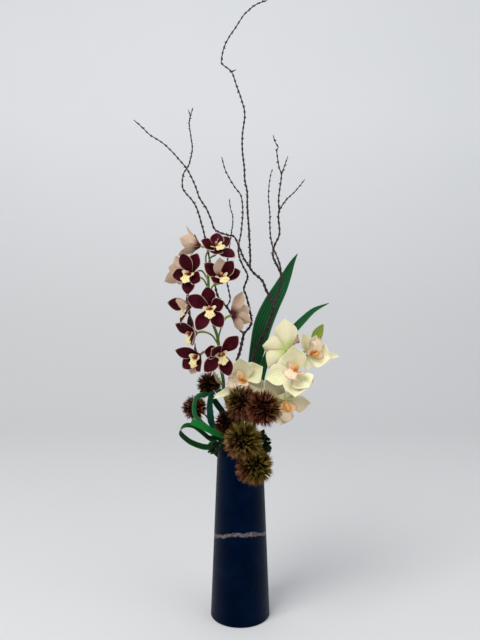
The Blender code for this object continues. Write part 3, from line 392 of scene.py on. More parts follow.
# Its leaves, the distance between pairs, and how far beside and above the rim no leaf starts or ends
BOXWOOD_LEAF_LENGTH = 11.0
BOXWOOD_LEAF_WIDTH = 8.0
BOXWOOD_THICKNESS = 0.7
BOXWOOD_ROWS = 9
BOXWOOD_COLUMNS = 7
BOXWOOD_DROOP = 1.6
BOXWOOD_DOME = 0.35
BOXWOOD_FOLD = 0.15
BOXWOOD_SIDES = 8
BOXWOOD_STEP = 2.0
BOXWOOD_SIZES = (0.75, 1.05)
BOXWOOD_SLANTS = (0.1, 0.9)
BOXWOOD_SPIN = 15
BOXWOOD_TWIST = 70
LEAFLESS = (1, 4)
TIPLESS = (2, 2)

# Camera: fitted to the plinth and the vase in the photograph
PHOTO_HEIGHT = 640
FOCAL_PIXELS = 652.3
SENSOR = 36.0
CAMERA_PLACE = (-0.0139, -1.084, 0.5626)
CAMERA_YAW = 0.0125
CAMERA_PITCH = 0.0567

# Lights: place, size, power and colour of each, where they aim, and the soft light of the room
LIGHTS = {
    "key": ((-1.2, -1.5, 2.6), 1.6, 62, (1.0, 0.99, 0.97)),
    "fill": ((1.9, -1.4, 1.3), 2.0, 14, (0.95, 0.97, 1.0)),
}
LIGHT_AIM = (0, 0, 0.5)
ROOM_COLOUR = (0.93, 0.96, 1.0, 1.0)
ROOM_STRENGTH = 0.62

# Where the draws that shape the bark and the spines start
DRAW_SEED = 11


class Graph:
    """A material's nodes, wired from short calls."""

    def __init__(self, name, roughness=0.5, **settings):
        self.material = bpy.data.materials.new(name)
        self.material.use_nodes = True
        self.nodes = self.material.node_tree.nodes
        self.links = self.material.node_tree.links
        self.shader = self.nodes["Principled BSDF"]
        self.shader.inputs["Roughness"].default_value = roughness
        for socket, value in settings.items():
            self.shader.inputs[socket.replace("_", " ")].default_value = value

    def put(self, socket, value):
        """Link a socket, or set it to a number or a colour."""
        if isinstance(value, bpy.types.NodeSocket):
            self.links.new(value, socket)
        elif socket.type == "RGBA" and len(value) == 3:
            socket.default_value = (*value, 1.0)
        else:
            socket.default_value = value

    def node(self, kind, sockets, output=0, **settings):
        """Add a node, set or link its sockets, and return one of its outputs."""
        node = self.nodes.new("ShaderNode" + kind)
        for name, value in settings.items():
            setattr(node, name, value)
        for socket, value in sockets.items():
            self.put(node.inputs[socket], value)
        return node.outputs[output]

    def attribute(self, name):
        """Return a number that the piece holds at each of its points."""
        return self.node("Attribute", {}, "Fac", attribute_name=name)

    def place(self, stretch=(1, 1, 1)):
        """Return the object's coordinates, stretched."""
        coordinates = self.node("TexCoord", {}, "Object")
        return self.node("Mapping", {"Vector": coordinates, "Scale": stretch})

    def split(self, vector):
        """Return the x, y and z of a vector."""
        return self.node("SeparateXYZ", {"Vector": vector}).node.outputs

    def noise(self, vector, scale, detail=3.0, roughness=0.55):
        """Return a cloudy number."""
        sockets = {"Vector": vector, "Scale": scale, "Detail": detail, "Roughness": roughness}
        return self.node("TexNoise", sockets, "Fac")

    def math(self, operation, *numbers):
        """Return the result of an operation on up to three numbers."""
        return self.node("Math", dict(enumerate(numbers)), operation=operation)

    def fit(self, value, low, high, to_low=0.0, to_high=1.0):
        """Map a range to another, with a smooth step."""
        sockets = {"Value": value, "From Min": low, "From Max": high, "To Min": to_low, "To Max": to_high}
        return self.node("MapRange", sockets, "Result", interpolation_type="SMOOTHSTEP")

    def mix(self, share, first, second, blend="MIX"):
        """Return the mix of two colours. Its sockets for colours are numbers 6 and 7, and output 2."""
        sockets = {0: share, 6: first, 7: second}
        return self.node("Mix", sockets, 2, data_type="RGBA", blend_type=blend)

    def bump(self, height, strength, distance, under=None):
        """Return a normal bumped by a height, on top of another where one is given."""
        sockets = {"Strength": strength, "Distance": distance, "Height": height}
        if under is not None:
            sockets["Normal"] = under
        return self.node("Bump", sockets)

    def finish(self, colour, normal=None, roughness=None):
        """Wire the shader and return the material."""
        for name, value in (("Base Color", colour), ("Normal", normal), ("Roughness", roughness)):
            if value is not None:
                self.put(self.shader.inputs[name], value)
        return self.material


def stripes(graph, across, count):
    """Return a wave of fine lines that run along a blade, from its across attribute."""
    return graph.math("SINE", graph.math("MULTIPLY", across, count * math.pi))


def petal_material(name, front, front_light, edge, back, base, edge_width, glow, shine):
    """Return a petal's finish: its front, its pale edge, its back and the tint at its root.

    A petal whose pale number is above 0 takes its back's colour in front too.
    """
    graph = Graph(name, 0.5, Subsurface_Weight=glow, Subsurface_Scale=0.004, Specular_IOR_Level=shine)
    along = graph.attribute("along")
    across = graph.attribute("across")
    is_front = graph.attribute("front")
    place = graph.place()
    cloud = graph.noise(place, 120.0)
    veins = stripes(graph, graph.math("ADD", across, graph.math("MULTIPLY", cloud, 0.05)), 9)
    faces = graph.mix(graph.fit(cloud, 0.35, 0.7), front, front_light)
    faces = graph.mix(graph.fit(veins, 0.2, 1.0, 0.0, 0.22), faces, base)
    rim = graph.math("MAXIMUM", graph.math("ABSOLUTE", across), graph.math("MULTIPLY", along, 0.98))
    rim = graph.math("ADD", rim, graph.math("MULTIPLY", graph.math("SUBTRACT", cloud, 0.5), 0.08))
    faces = graph.mix(graph.fit(rim, 1.0 - edge_width, 1.0), faces, edge)
    streak = graph.math("MULTIPLY_ADD", veins, -0.05, along)
    backs = graph.mix(graph.fit(streak, 0.12, 0.42, 1.0, 0.0), back, base)
    backs = graph.mix(graph.fit(cloud, 0.55, 0.8, 0.0, 0.25), backs, base)
    shown = graph.math("MULTIPLY", is_front, graph.math("SUBTRACT", 1.0, graph.attribute("pale")))
    colour = graph.mix(shown, backs, faces)
    ridges = graph.bump(veins, 0.25, 0.0003)
    normal = graph.bump(graph.noise(place, 900.0), 0.12, 0.0003, ridges)
    return graph.finish(colour, normal)


def lip_material(name, ground, tongue, throat, rim_colour, spots):
    """Return a lip's finish: pale side lobes, a deep throat between them, and a tongue with a tinted rim."""
    graph = Graph(name, 0.5, Subsurface_Weight=0.1, Subsurface_Scale=0.004, Specular_IOR_Level=0.25)
    along = graph.attribute("along")
    across = graph.math("ABSOLUTE", graph.attribute("across"))
    place = graph.place()
    blotch = graph.noise(place, 480.0, 2.0)
    ragged = graph.math("MULTIPLY_ADD", blotch, 0.16, along)
    colour = graph.mix(graph.fit(ragged, 0.55, 0.75), ground, tongue)
    inner = graph.math("MULTIPLY", graph.fit(across, 0.62, 0.4), graph.fit(ragged, 0.68, 0.5))
    colour = graph.mix(inner, colour, throat)
    rim = graph.math("MULTIPLY", graph.fit(across, 0.6, 0.98), graph.fit(along, 0.62, 0.75))
    rim = graph.math("MAXIMUM", rim, graph.fit(along, 0.9, 1.0))
    lobes = graph.math("MULTIPLY", graph.fit(across, 0.86, 1.0), graph.fit(along, 0.16, 0.3))
    rim = graph.math("MAXIMUM", rim, lobes)
    colour = graph.mix(graph.math("MULTIPLY", rim, 0.75), colour, rim_colour)
    spotted = graph.math("MULTIPLY", graph.fit(blotch, 0.6, 0.66), graph.fit(along, 0.3, 0.6))
    colour = graph.mix(graph.math("MULTIPLY", spotted, 0.8), colour, spots)
    return graph.finish(colour, graph.bump(graph.noise(place, 800.0), 0.15, 0.0003))


def column_material(name, base, tip):
    """Return a column's finish, from its root to its cap."""
    graph = Graph(name, roughness=0.4, Subsurface_Weight=0.15, Subsurface_Scale=0.003)
    along = graph.attribute("along")
    colour = graph.mix(graph.fit(along, 0.6, 0.95), base, tip)
    return graph.finish(colour, graph.bump(graph.noise(graph.place(), 700.0), 0.1, 0.0003))


def leaf_material(name, deep, light, edge, count, roughness=LEAF_ROUGHNESS, root=None):
    """Return a leaf's finish, with parallel veins and lighter bands, and a darker first half with root."""
    graph = Graph(name, roughness=roughness, Specular_IOR_Level=0.16)
    across = graph.attribute("across")
    place = graph.place()
    cloud = graph.noise(place, 30.0)
    drift = graph.math("ADD", across, graph.math("MULTIPLY", graph.noise(place, 14.0), 0.12))
    bands = stripes(graph, drift, count)
    fine = stripes(graph, across, count * 5)
    colour = graph.mix(graph.fit(bands, -0.2, 0.9), deep, light)
    colour = graph.mix(graph.fit(fine, 0.4, 1.0, 0.0, 0.25), colour, light)
    colour = graph.mix(graph.fit(cloud, 0.4, 0.75, 0.0, 0.35), colour, deep)
    colour = graph.mix(graph.fit(graph.math("ABSOLUTE", across), 0.9, 1.0, 0.0, 0.7), colour, edge)
    if root is not None:
        colour = graph.mix(graph.fit(graph.attribute("along"), 0.5, 0.35), colour, root)
    ribs = graph.bump(fine, 0.35, 0.0003)
    return graph.finish(colour, graph.bump(cloud, 0.15, 0.001, ribs))


def stem_material(name, low, high, blush):
    """Return a green stem's finish, blushed in patches."""
    graph = Graph(name, roughness=0.42, Specular_IOR_Level=0.2)
    along = graph.attribute("along")
    place = graph.place((1, 1, 0.25))
    colour = graph.mix(along, low, high)
    colour = graph.mix(graph.fit(graph.noise(place, 90.0), 0.5, 0.75, 0.0, 0.5), colour, blush)
    return graph.finish(colour, graph.bump(graph.noise(place, 700.0), 0.2, 0.0003))


def bark_material():
    """Return dark purplish bark, greyer on its knobs."""
    graph = Graph("bark", roughness=0.82, Specular_IOR_Level=0.15)
    knob = graph.attribute("knob")
    place = graph.place()
    cloud = graph.noise(place, 260.0)
    colour = graph.mix(graph.fit(cloud, 0.35, 0.7), (0.018, 0.011, 0.013), (0.075, 0.05, 0.05))
    colour = graph.mix(graph.math("MULTIPLY", knob, 0.6), colour, (0.05, 0.034, 0.032))
    lichen = graph.fit(graph.noise(place, 60.0), 0.62, 0.74, 0.0, 0.5)
    colour = graph.mix(lichen, colour, (0.16, 0.13, 0.12))
    return graph.finish(colour, graph.bump(graph.noise(place, 900.0, 5.0), 0.7, 0.0008))


def burr_material(name, tone_and_painted_shade):
    """Return a burr's finish: near black at the core and the spines' roots, partly dark body and partly
    painted shade between the spines, then rust, olive and tan towards their tips, tinted by a tone that
    paints shade on the darker burrs.
    """
    graph = Graph(name, roughness=0.8, Specular_IOR_Level=0.03)
    along = graph.attribute("along")
    tint = graph.attribute("tint")
    olive = graph.attribute("olive")
    patches = graph.noise(graph.place(), 40.0, 1.0)
    rust = graph.mix(tint, (0.13, 0.032, 0.014), (0.28, 0.12, 0.06))
    green = graph.mix(tint, (0.11, 0.088, 0.006), (0.3, 0.22, 0.04))
    share = graph.fit(graph.math("MULTIPLY_ADD", patches, 0.8, olive), 0.7, 1.1)
    tips = graph.mix(share, rust, green)
    # Near black at the roots of the spines: partly the burr's dark body, partly painted shade between the
    # spines
    colour = graph.mix(graph.fit(along, 0.25, 0.95), (0.005, 0.003, 0.001), tips)
    dark = graph.math("MULTIPLY", graph.fit(tint, 0.5, 0.1), 0.75)
    colour = graph.mix(dark, colour, (0.014, 0.007, 0.003))
    pale = graph.math("MULTIPLY", graph.fit(along, 0.75, 1.0), graph.fit(tint, 0.45, 0.9))
    colour = graph.mix(pale, colour, (0.52, 0.33, 0.14))
    # The burr's tint: its own tone, and painted shade on the darker burrs
    colour = graph.mix(1.0, colour, tone_and_painted_shade, "MULTIPLY")
    return graph.finish(colour)


def stone_material():
    """Return the near-black honed stone of the vase, with its turning lines, scuffs and pale vein."""
    graph = Graph("stone", roughness=0.35, Specular_IOR_Level=0.12, Specular_Tint=(0.03, 0.25, 1.0, 1.0))
    place = graph.place()
    x, y, z = graph.split(place)
    cloud = graph.noise(place, 22.0, 6.0, 0.6)
    colour = graph.mix(graph.fit(cloud, 0.35, 0.75), (0.0, 0.0012, 0.006), (0.0004, 0.004, 0.015))
    lines = graph.noise(graph.place((6, 6, 420)), 1.0, 4.0, 0.7)
    colour = graph.mix(graph.fit(lines, 0.6, 0.8, 0.0, 0.3), colour, (0.03, 0.04, 0.055))
    scuffs = graph.noise(graph.place((1, 1, 3)), 95.0, 5.0, 0.7)
    colour = graph.mix(graph.fit(scuffs, 0.68, 0.78, 0.0, 0.5), colour, (0.09, 0.09, 0.095))
    ragged = graph.math("MULTIPLY", graph.math("SUBTRACT", graph.noise(place, 55.0, 5.0, 0.7), 0.5), 0.016)
    climb = graph.math("MULTIPLY", y, -VEIN_CLIMB_FORWARD)
    climb = graph.math("MULTIPLY_ADD", x, VEIN_CLIMB_RIGHT, climb)
    away = graph.math("SUBTRACT", graph.math("SUBTRACT", z, climb), VEIN_HEIGHT * MM)
    away = graph.math("ABSOLUTE", graph.math("ADD", away, ragged))
    vein = graph.fit(away, VEIN_HALF_WIDTH * MM * 1.3, VEIN_HALF_WIDTH * MM * 0.55)
    grain = graph.noise(place, 160.0, 4.0, 0.7)
    vein_colour = graph.mix(graph.fit(grain, 0.35, 0.65), (0.045, 0.038, 0.042), (0.17, 0.135, 0.135))
    colour = graph.mix(vein, colour, vein_colour)
    rough = graph.fit(scuffs, 0.3, 0.8, 0.36, 0.56)
    normal = graph.bump(lines, 0.12, 0.0004)
    normal = graph.bump(graph.noise(place, 420.0, 4.0), 0.08, 0.0004, normal)
    return graph.finish(colour, normal, rough)


def water_material():
    """Return clear water."""
    graph = Graph("water", roughness=0.03, IOR=1.33, Transmission_Weight=0.9)
    ripple = graph.noise(graph.place(), 60.0)
    colour = graph.mix(ripple, (0.8, 0.9, 0.92), (0.9, 0.97, 0.97))
    return graph.finish(colour, graph.bump(ripple, 0.1, 0.0005))


def smooth_route(points, spacing):
    """Read points about a spacing apart from a smooth curve through the route's own points."""
    knots = [Vector(point) for point in points]
    knots = [2 * knots[0] - knots[1]] + knots + [2 * knots[-1] - knots[-2]]
    route = []
    for before, start, end, after in zip(knots, knots[1:], knots[2:], knots[3:]):
        steps = max(1, round((end - start).length / spacing))
        for step in range(steps):
            t = step / steps
            bend = 2 * before - 5 * start + 4 * end - after
            twist = 3 * start - before - 3 * end + after
            route.append(0.5 * (2 * start + (end - before) * t + bend * t ** 2 + twist * t ** 3))
    route.append(knots[-2])
    return route


def tangents(route):
    """Return the direction of a route at each of its points."""
    ahead = route[1:] + route[-1:]
    behind = route[:1] + route[:-1]
    return [(later - earlier).normalized() for later, earlier in zip(ahead, behind)]


class Shell:
    """Points in millimetres, faces, and the numbers that the finishes read at each point."""

    def __init__(self):
        self.points = []
        self.faces = []
        self.slots = []
        self.values = {}

    def add(self, points, faces, slot=0, **values):
        """Add points and faces. A value is one number for all the points or one for each."""
        offset = sum(len(block) for block in self.points)
        for key in self.values | values:
            blocks = self.values.setdefault(key, [np.zeros(offset)])
            blocks.append(np.broadcast_to(values.get(key, 0.0), len(points)))
        self.points.append(np.asarray([tuple(point) for point in points], float))
        self.faces += [tuple(offset + index for index in face) for face in faces]
        self.slots += [slot] * len(faces)

    def add_sheet(self, grid, thickness, slot=0, **values):
        """Add a grid of points as a thin closed solid, with its along, across and front numbers."""
        points, faces = closed_sheet(grid, thickness)
        self.add(points, faces, slot, **sheet_values(*grid.shape[:2]), **values)

    def add_tube(self, route, radii, sides, slot=0, flatten=1.0, ends=None, **values):
        """Sweep a round or flattened section along a route. Its along number runs between two ends."""
        points = []
        across = tangents(route)[0].orthogonal().normalized()
        radii = np.broadcast_to(radii, len(route)).tolist()
        for place, direction, radius in zip(route, tangents(route), radii):
            across = (across - direction * across.dot(direction)).normalized()
            side_way = direction.cross(across)
            for side in range(sides):
                angle = 2 * math.pi * side / sides
                outward = math.cos(angle) * across + flatten * math.sin(angle) * side_way
                points.append(place + radius * outward)
        faces = []
        last = (len(route) - 1) * sides
        for ring in range(0, last, sides):
            for side in range(sides):
                here = ring + side
                following = ring + (side + 1) % sides
                faces.append((here, following, following + sides, here + sides))
        faces.append(tuple(range(sides - 1, -1, -1)))
        faces.append(tuple(range(last, last + sides)))
        if ends is not None:
            values["along"] = np.repeat(np.linspace(*ends, len(route)), sides)
        self.add(points, faces, slot, **values)

    def move(self, turn, centre):
        """Turn and move every point."""
        self.points = [np.vstack(self.points) @ np.array(turn, float).T + np.array(centre, float)]

    def build(self, name, node, materials):
        """Make the piece that stands for a CAD node."""
        mesh = bpy.data.meshes.new(name)
        mesh.from_pydata((np.vstack(self.points) * MM).tolist(), [], self.faces)
        for material in materials:
            mesh.materials.append(material)
        mesh.polygons.foreach_set("material_index", self.slots)
        for key, blocks in self.values.items():
            layer = mesh.attributes.new(key, "FLOAT", "POINT")
            layer.data.foreach_set("value", np.concatenate(blocks).astype(np.float32))
        mesh.shade_smooth()
        mesh.set_sharp_from_angle(angle=math.radians(SHARP_ANGLE))
        mesh.update()
        piece = bpy.data.objects.new(name, mesh)
        bpy.context.scene.collection.objects.link(piece)
        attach(piece, "root")
        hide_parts(node)


def grid_faces(rows, columns, offset=0, turned_round=False):
    """Return the quads of a grid of points."""
    faces = []
    for row in range(rows - 1):
        for column in range(columns - 1):
            a = offset + row * columns + column
            quad = (a, a + 1, a + columns + 1, a + columns)
            faces.append(quad[::-1] if turned_round else quad)
    return faces


def closed_sheet(grid, thickness):
    """Close a grid of points into a thin solid. Return its points and faces, front side first."""
    rows, columns, _ = grid.shape
    down = np.gradient(grid, axis=0)
    right = np.gradient(grid, axis=1)
    normal = np.cross(down, right)
    length = np.linalg.norm(normal, axis=2, keepdims=True)
    normal = normal / np.maximum(length, 1e-9)
    half = np.broadcast_to(np.asarray(thickness), (rows, columns))[..., None] / 2
    front = (grid + normal * half).reshape(-1, 3)
    back = (grid - normal * half).reshape(-1, 3)
    count = rows * columns
    faces = grid_faces(rows, columns, 0, True) + grid_faces(rows, columns, count)
    rim = [(0, c) for c in range(columns)] + [(r, columns - 1) for r in range(1, rows)]
    rim += [(rows - 1, c) for c in range(columns - 2, -1, -1)] + [(r, 0) for r in range(rows - 2, 0, -1)]
    loop = [r * columns + c for r, c in rim]
    for here, following in zip(loop, loop[1:] + loop[:1]):
        faces.append((here, following, following + count, here + count))
    return np.vstack([front, back]), faces


def sheet_values(rows, columns):
    """Return the along, across and front numbers of a closed sheet."""
    along, across = np.meshgrid(np.linspace(0, 1, rows), np.linspace(-1, 1, columns), indexing="ij")
    count = rows * columns
    return {"along": np.tile(along.ravel(), 2), "across": np.tile(across.ravel(), 2),
            "front": np.concatenate([np.ones(count), np.zeros(count)])}


def smooth_between(shares, stops):
    """Read numbers from a smooth curve through a few (share, number) stops."""
    where = np.array([stop[0] for stop in stops])
    numbers = np.array([stop[1] for stop in stops])
    index = np.clip(np.searchsorted(where, shares, side="right") - 1, 0, len(where) - 2)
    t = (shares - where[index]) / (where[index + 1] - where[index])
    t = np.clip(t, 0, 1)
    t = t * t * (3 - 2 * t)
    return numbers[index] + (numbers[index + 1] - numbers[index]) * t


def straight(start, end, steps):
    """Return the points that split a line evenly, all but its start."""
    return [tuple(point) for point in np.linspace(start, end, steps + 1)[1:]]


def rounded_edge(radius, height, start, end):
    """Return the points of a rounded edge of the vase, from one angle to another in degrees."""
    angles = np.radians(np.linspace(start, end, EDGE_STEPS + 1))
    return [(radius + VASE_EDGE * math.cos(a), height + VASE_EDGE * math.sin(a)) for a in angles]


def vase_profile():
    """Return the vase's section, from the middle of its mouth's floor out over the rim to its base."""
    lean = VASE_EDGE * (VASE_BASE_RADIUS - VASE_RIM_RADIUS) / VASE_HEIGHT
    top = VASE_HEIGHT - VASE_EDGE
    corner = (CAVITY_RADIUS, CAVITY_FLOOR + CAVITY_CORNER)
    foot = (VASE_BASE_RADIUS - lean, VASE_EDGE)
    profile = [(0, CAVITY_FLOOR), (CAVITY_RADIUS - CAVITY_CORNER, CAVITY_FLOOR), corner]
    profile += straight(corner, (MOUTH_RADIUS, top), CAVITY_STEPS)
    profile += rounded_edge(MOUTH_RADIUS + VASE_EDGE, top, 180, 90)[1:]
    profile += rounded_edge(VASE_RIM_RADIUS - VASE_EDGE, top, 90, 0)
    profile += straight((VASE_RIM_RADIUS + lean, top), foot, WALL_STEPS)[:-1]
    profile += rounded_edge(foot[0] - VASE_EDGE, VASE_EDGE, 0, -90)
    return profile + [(0, 0)]


def turned(profile, sides):
    """Turn a profile of radii and heights whose ends lie on the axis. Return its points and faces."""
    angles = np.linspace(0, 2 * math.pi, sides, endpoint=False)
    points = [(0, 0, profile[0][1])]
    for radius, height in profile[1:-1]:
        points += [(radius * math.cos(a), radius * math.sin(a), height) for a in angles]
    points.append((0, 0, profile[-1][1]))
    last = len(points) - 1
    faces = []
    for side in range(sides):
        following = (side + 1) % sides
        faces.append((0, 1 + side, 1 + following))
        faces.append((last, last - sides + following, last - sides + side))
        for here in range(1, last - sides, sides):
            below = here + sides
            faces.append((here + side, below + side, below + following, here + following))
    return np.array(points), faces


def build_vase():
    """Turn the vase, its edges rounded and its wall open at the mouth."""
    shell = Shell()
    shell.add(*turned(vase_profile(), VASE_SIDES))
    shell.build("stone_vase", "vase", [stone_material()])


def foot_of(node):
    """Return the place in the water where a stem stands."""
    x, y, _ = STEM_SPOTS[node]
    return Vector((x, y, STEM_FOOT))


def add_limb(shell, route, start_radius, end_radius, draw):
    """Add a slightly uneven twig that swells into a knob every few millimetres."""
    phase = draw.uniform(0, KNOB_PITCH)
    distances = np.cumsum([0.0] + [(end - start).length for start, end in zip(route, route[1:])])
    radii = start_radius + (end_radius - start_radius) * distances / distances[-1]
    beside = (distances + phase) % KNOB_PITCH - KNOB_PITCH / 2
    knobs = np.exp(-(beside / (KNOB_LENGTH / 2)) ** 2)
    uneven = np.array([draw.uniform(-BARK_UNEVEN, BARK_UNEVEN) for _ in route])
    radii = radii * (BARK_FULLNESS + uneven) + KNOB_SWELL * knobs * (0.6 + 0.4 * radii)
    radii[-1] *= BARK_TIP
    shell.add_tube(route, radii, BARK_SIDES, knob=np.repeat(knobs, BARK_SIDES))


def add_spurs(shell, route, start_radius, end_radius, draw):
    """Add the short blunt spurs that stand out of a twig, about one for each knob."""
    step = round(KNOB_PITCH / BARK_STEP)
    ways = tangents(route)
    for index in range(step, len(route) - step, step):
        radius = start_radius + (end_radius - start_radius) * index / len(route)
        turn = Matrix.Rotation(draw.uniform(0, 2 * math.pi), 3, ways[index])
        side = turn @ ways[index].orthogonal().normalized()
        out = (side + ways[index] * SPUR_LEAN).normalized()
        size = draw.uniform(*SPUR_SIZES) * (0.75 + 0.25 * radius)
        foot = route[index] + side * radius * SPUR_SEAT
        spur = [foot + out * far * size for far, _ in SPUR]
        shell.add_tube(spur, [wide * size for _, wide in SPUR], SPUR_SIDES, knob=1.0)


def build_branch(node, limbs, material, draw):
    """Build a bare branch from all its limbs, the first of which starts in the water."""
    shell = Shell()
    for index, (points, start_radius, end_radius) in enumerate(limbs):
        route = smooth_route(points, BARK_STEP)
        if index == 0:
            below = [foot_of(node).lerp(route[0], step / FOOT_STEPS) for step in range(FOOT_STEPS)]
            shell.add_tube(below + route[:2], start_radius * FOOT_FULLNESS, BARK_SIDES, knob=0.0)
        add_limb(shell, route, start_radius, end_radius, draw)
        add_spurs(shell, route, start_radius, end_radius, draw)
    shell.build("bark_" + node, node, [material])


def bloom_frame(facing, roll):
    """Return the turn of a bloom: its face along local Z and its upper sepal along local Y."""
    forward = Vector(facing).normalized()
    upright = Vector((0, 0, 1)) - forward * forward.z
    upright = Matrix.Rotation(math.radians(roll), 3, forward) @ upright.normalized()
    return Matrix((upright.cross(forward), upright, forward)).transposed()


def petal_width(share):
    """Return the width of a petal at a share of its length, as a share of its full width."""
    body = np.sin(math.pi * share ** 1.22) ** (0.78 + 0.25 * share)
    return 0.16 * (1 - share) ** 3 + np.clip(body, 0, 1)


def laid_out(middle, side_way, sideways, normal, lift):
    """Return a grid of points that lie sideways of a middle line and are lifted off it."""
    return middle[:, None, :] + side_way * sideways[..., None] + normal[..., None, :] * lift[..., None]


def petal_grid(angle, seat, length, width, opening, curl, cup, draw):
    """Return the middle surface of a petal, from its root to its pointed tip."""
    share = np.linspace(0, 1, PETAL_ROWS)
    across = np.linspace(-1, 1, PETAL_COLUMNS)
    edge = np.abs(across)
    rise = opening + curl * share
    step = length / (PETAL_ROWS - 1)
    between = (rise[1:] + rise[:-1]) / 2
    out_run, up_run = (np.append(0, np.cumsum(part(between)) * step) for part in (np.cos, np.sin))
    out = np.array([math.cos(angle), math.sin(angle), 0])
    side_way = np.array([-math.sin(angle), math.cos(angle), 0])
    up = np.array([0, 0, 1.0])
    middle = out * (PETAL_ROOT + out_run)[:, None] + up * (seat + up_run)[:, None]
    normal = up * np.cos(rise)[:, None] - out * np.sin(rise)[:, None]
    half = width / 2 * np.maximum(petal_width(np.clip(share, 1e-6, 1 - 1e-6)), 0.015)[:, None]
    share = share[:, None]
    bowl = cup * half * across ** 2
    rolled = -PETAL_ROLL * cup * half * (np.clip(edge - ROLL_START, 0, 1) / (1 - ROLL_START)) ** 2
    groove = -GROOVE_DEPTH * np.exp(-(across / GROOVE_WIDTH) ** 2) * (1 - share) ** 0.7
    waves = np.sin(share * PETAL_WAVES + draw.uniform(0, 6) + across * 1.5) * edge ** 3
    waves = WAVE_HEIGHT * waves * np.sin(math.pi * share) * half.max()
    return laid_out(middle, side_way, half * across, normal, bowl + rolled + groove + waves)


def lip_grid(length):
    """Return the lip: side lobes that flank the column, then a waved tongue that curls down."""
    share = np.linspace(0, 1, LIP_ROWS)
    across = np.linspace(-1, 1, LIP_COLUMNS)
    edge = np.abs(across)
    turn = 1.9 * share ** 2
    scale = length / LIP_MODEL_LENGTH
    none = np.zeros(LIP_ROWS)
    fall = -1.3 - length * 0.7 * share ** 2.4
    reach = 0.5 + length * 0.75 * np.sin(1.35 * share)
    middle = np.stack([none, fall, reach], 1)
    normal = np.stack([none, np.cos(turn), np.sin(turn)], 1)
    tables = (LIP_HALF_WIDTHS, LIP_ROLLS, LIP_RIDGES, LIP_FRILLS)
    half, roll, ridged, frilled = (smooth_between(share, table)[:, None] for table in tables)
    half = half * scale
    safe = np.where(np.abs(roll) < LEAST_ROLL, LEAST_ROLL, roll)
    sideways = half * np.sin(safe * across) / safe
    lift = half * (1 - np.cos(roll * across)) / safe
    ridges = 0.9 * scale * np.exp(-((edge - 0.2) / 0.09) ** 2) * ridged
    waves = np.sin(share[:, None] * 34 + np.sign(across) * 1.2)
    frill = 0.8 * scale * waves * edge ** 4 * frilled
    return laid_out(middle, np.array([1.0, 0, 0]), sideways, normal, lift + ridges + frill)


def add_column(shell, length):
    """Add the column, a rod arched over the lip with a blunt cap."""
    arch = [(0, y, share * length) for y, share in COLUMN_ROUTE]
    route = smooth_route([COLUMN_ROOT] + arch, COLUMN_STEP)
    radii = smooth_between(np.linspace(0, 1, len(route)), COLUMN_RADII) * length / LIP_MODEL_LENGTH
    shell.add_tube(route, radii, COLUMN_SIDES, 1, COLUMN_FLATTEN, ends=(0, 1))


def add_hub(shell):
    """Add the knuckle behind the petals, where the pedicel ends."""
    route = [Vector((0, 0, height)) for height in np.linspace(-HUB_DEPTH, HUB_TOP, HUB_RINGS)]
    radii = smooth_between(np.linspace(0, 1, HUB_RINGS), HUB_RADII)
    shell.add_tube(route, radii, HUB_SIDES, along=0.02)


def aim_at(tip, seat):
    """Return the angle, length and opening of a petal that leaves the hub and ends at a tip."""
    out = Vector((tip.x, tip.y)).length - PETAL_ROOT
    rise = tip.z - seat
    return math.atan2(tip.y, tip.x), math.hypot(out, rise), math.atan2(rise, out)


def build_bloom(name, kind, centre, facing, roll, tips, finishes):
    """Build a bloom's sepals and petals, and its lip with the column."""
    width, lip_length = BLOOM_SIZES[kind]
    turn = bloom_frame(facing, roll)
    draw = random.Random(name)
    wave = random.Random(name + "_waves")
    shell = Shell()
    add_hub(shell)
    thickness = PETAL_THICKNESS * (1 - EDGE_THINNING * np.abs(np.linspace(-1, 1, PETAL_COLUMNS)) ** 3)
    for index, tip in enumerate(tips):
        seat = SEPAL_SEAT if index < SEPALS else PETAL_SEAT
        angle, length, opening = aim_at(turn.transposed() @ Vector(tip), seat)
        curl = math.radians(draw.uniform(*PETAL_CURL[kind]))
        cup = draw.uniform(*PETAL_CUP[kind])
        wide = width * PETAL_WIDTHS.get(name, {}).get(index, 1.0)
        grid = petal_grid(angle, seat, length, wide, opening - curl / 2, curl, cup, wave)
        shell.add_sheet(grid, thickness, pale=PALE_PETALS.get(name, {}).get(index, 0.0))
    shell.move(turn, centre)
    shell.build("petals_" + name, name, [finishes[kind + "_petal"]])
    shell = Shell()
    shell.add_sheet(lip_grid(lip_length), PETAL_THICKNESS)
    add_column(shell, lip_length)
    shell.move(turn, centre)
    materials = [finishes[kind + "_lip"], finishes[kind + "_column"]]
    shell.build("lip_" + name, name + "_lip", materials)


def point_at_height(route, height):
    """Return the point of a rising route that lies nearest to a height."""
    return min(route, key=lambda point: abs(point.z - height))


def add_pedicel(shell, foot, centre, facing):
    """Add the stalk of a bloom, swelling into its ovary."""
    forward = Vector(facing).normalized()
    end = Vector(centre) - forward * HUB_DEPTH * 0.8
    reach = (end - foot).length
    risen = foot + Vector((0, 0, 0.25 * reach)) + (end - foot) * 0.3
    route = smooth_route([foot, risen, end - forward * 0.3 * reach, end], STALK_STEP)
    radii = PEDICEL_RADIUS * smooth_between(np.linspace(0, 1, len(route)), PEDICEL_SWELL)
    shell.add_tube(route, radii, STALK_SIDES, ends=(0.35, 1))


def add_small_bract(shell, foot, centre):
    """Add the small bract where a pedicel leaves its stem."""
    aim = (Vector(centre) - foot).normalized() * 0.6 + Vector((0, 0, 0.8))
    tip = foot + aim.normalized() * SMALL_BRACT_LENGTH
    places = (foot, foot.lerp(tip, 0.5), tip)
    route = smooth_route([(*place, width) for place, width in zip(places, SMALL_BRACT_WIDTHS)], BRACT_STEP)
    grid = ribbon_grid(route, [aim.orthogonal().normalized()], SMALL_BRACT_FOLD, 7)
    shell.add_sheet(grid, LEAF_THICKNESS, 1)


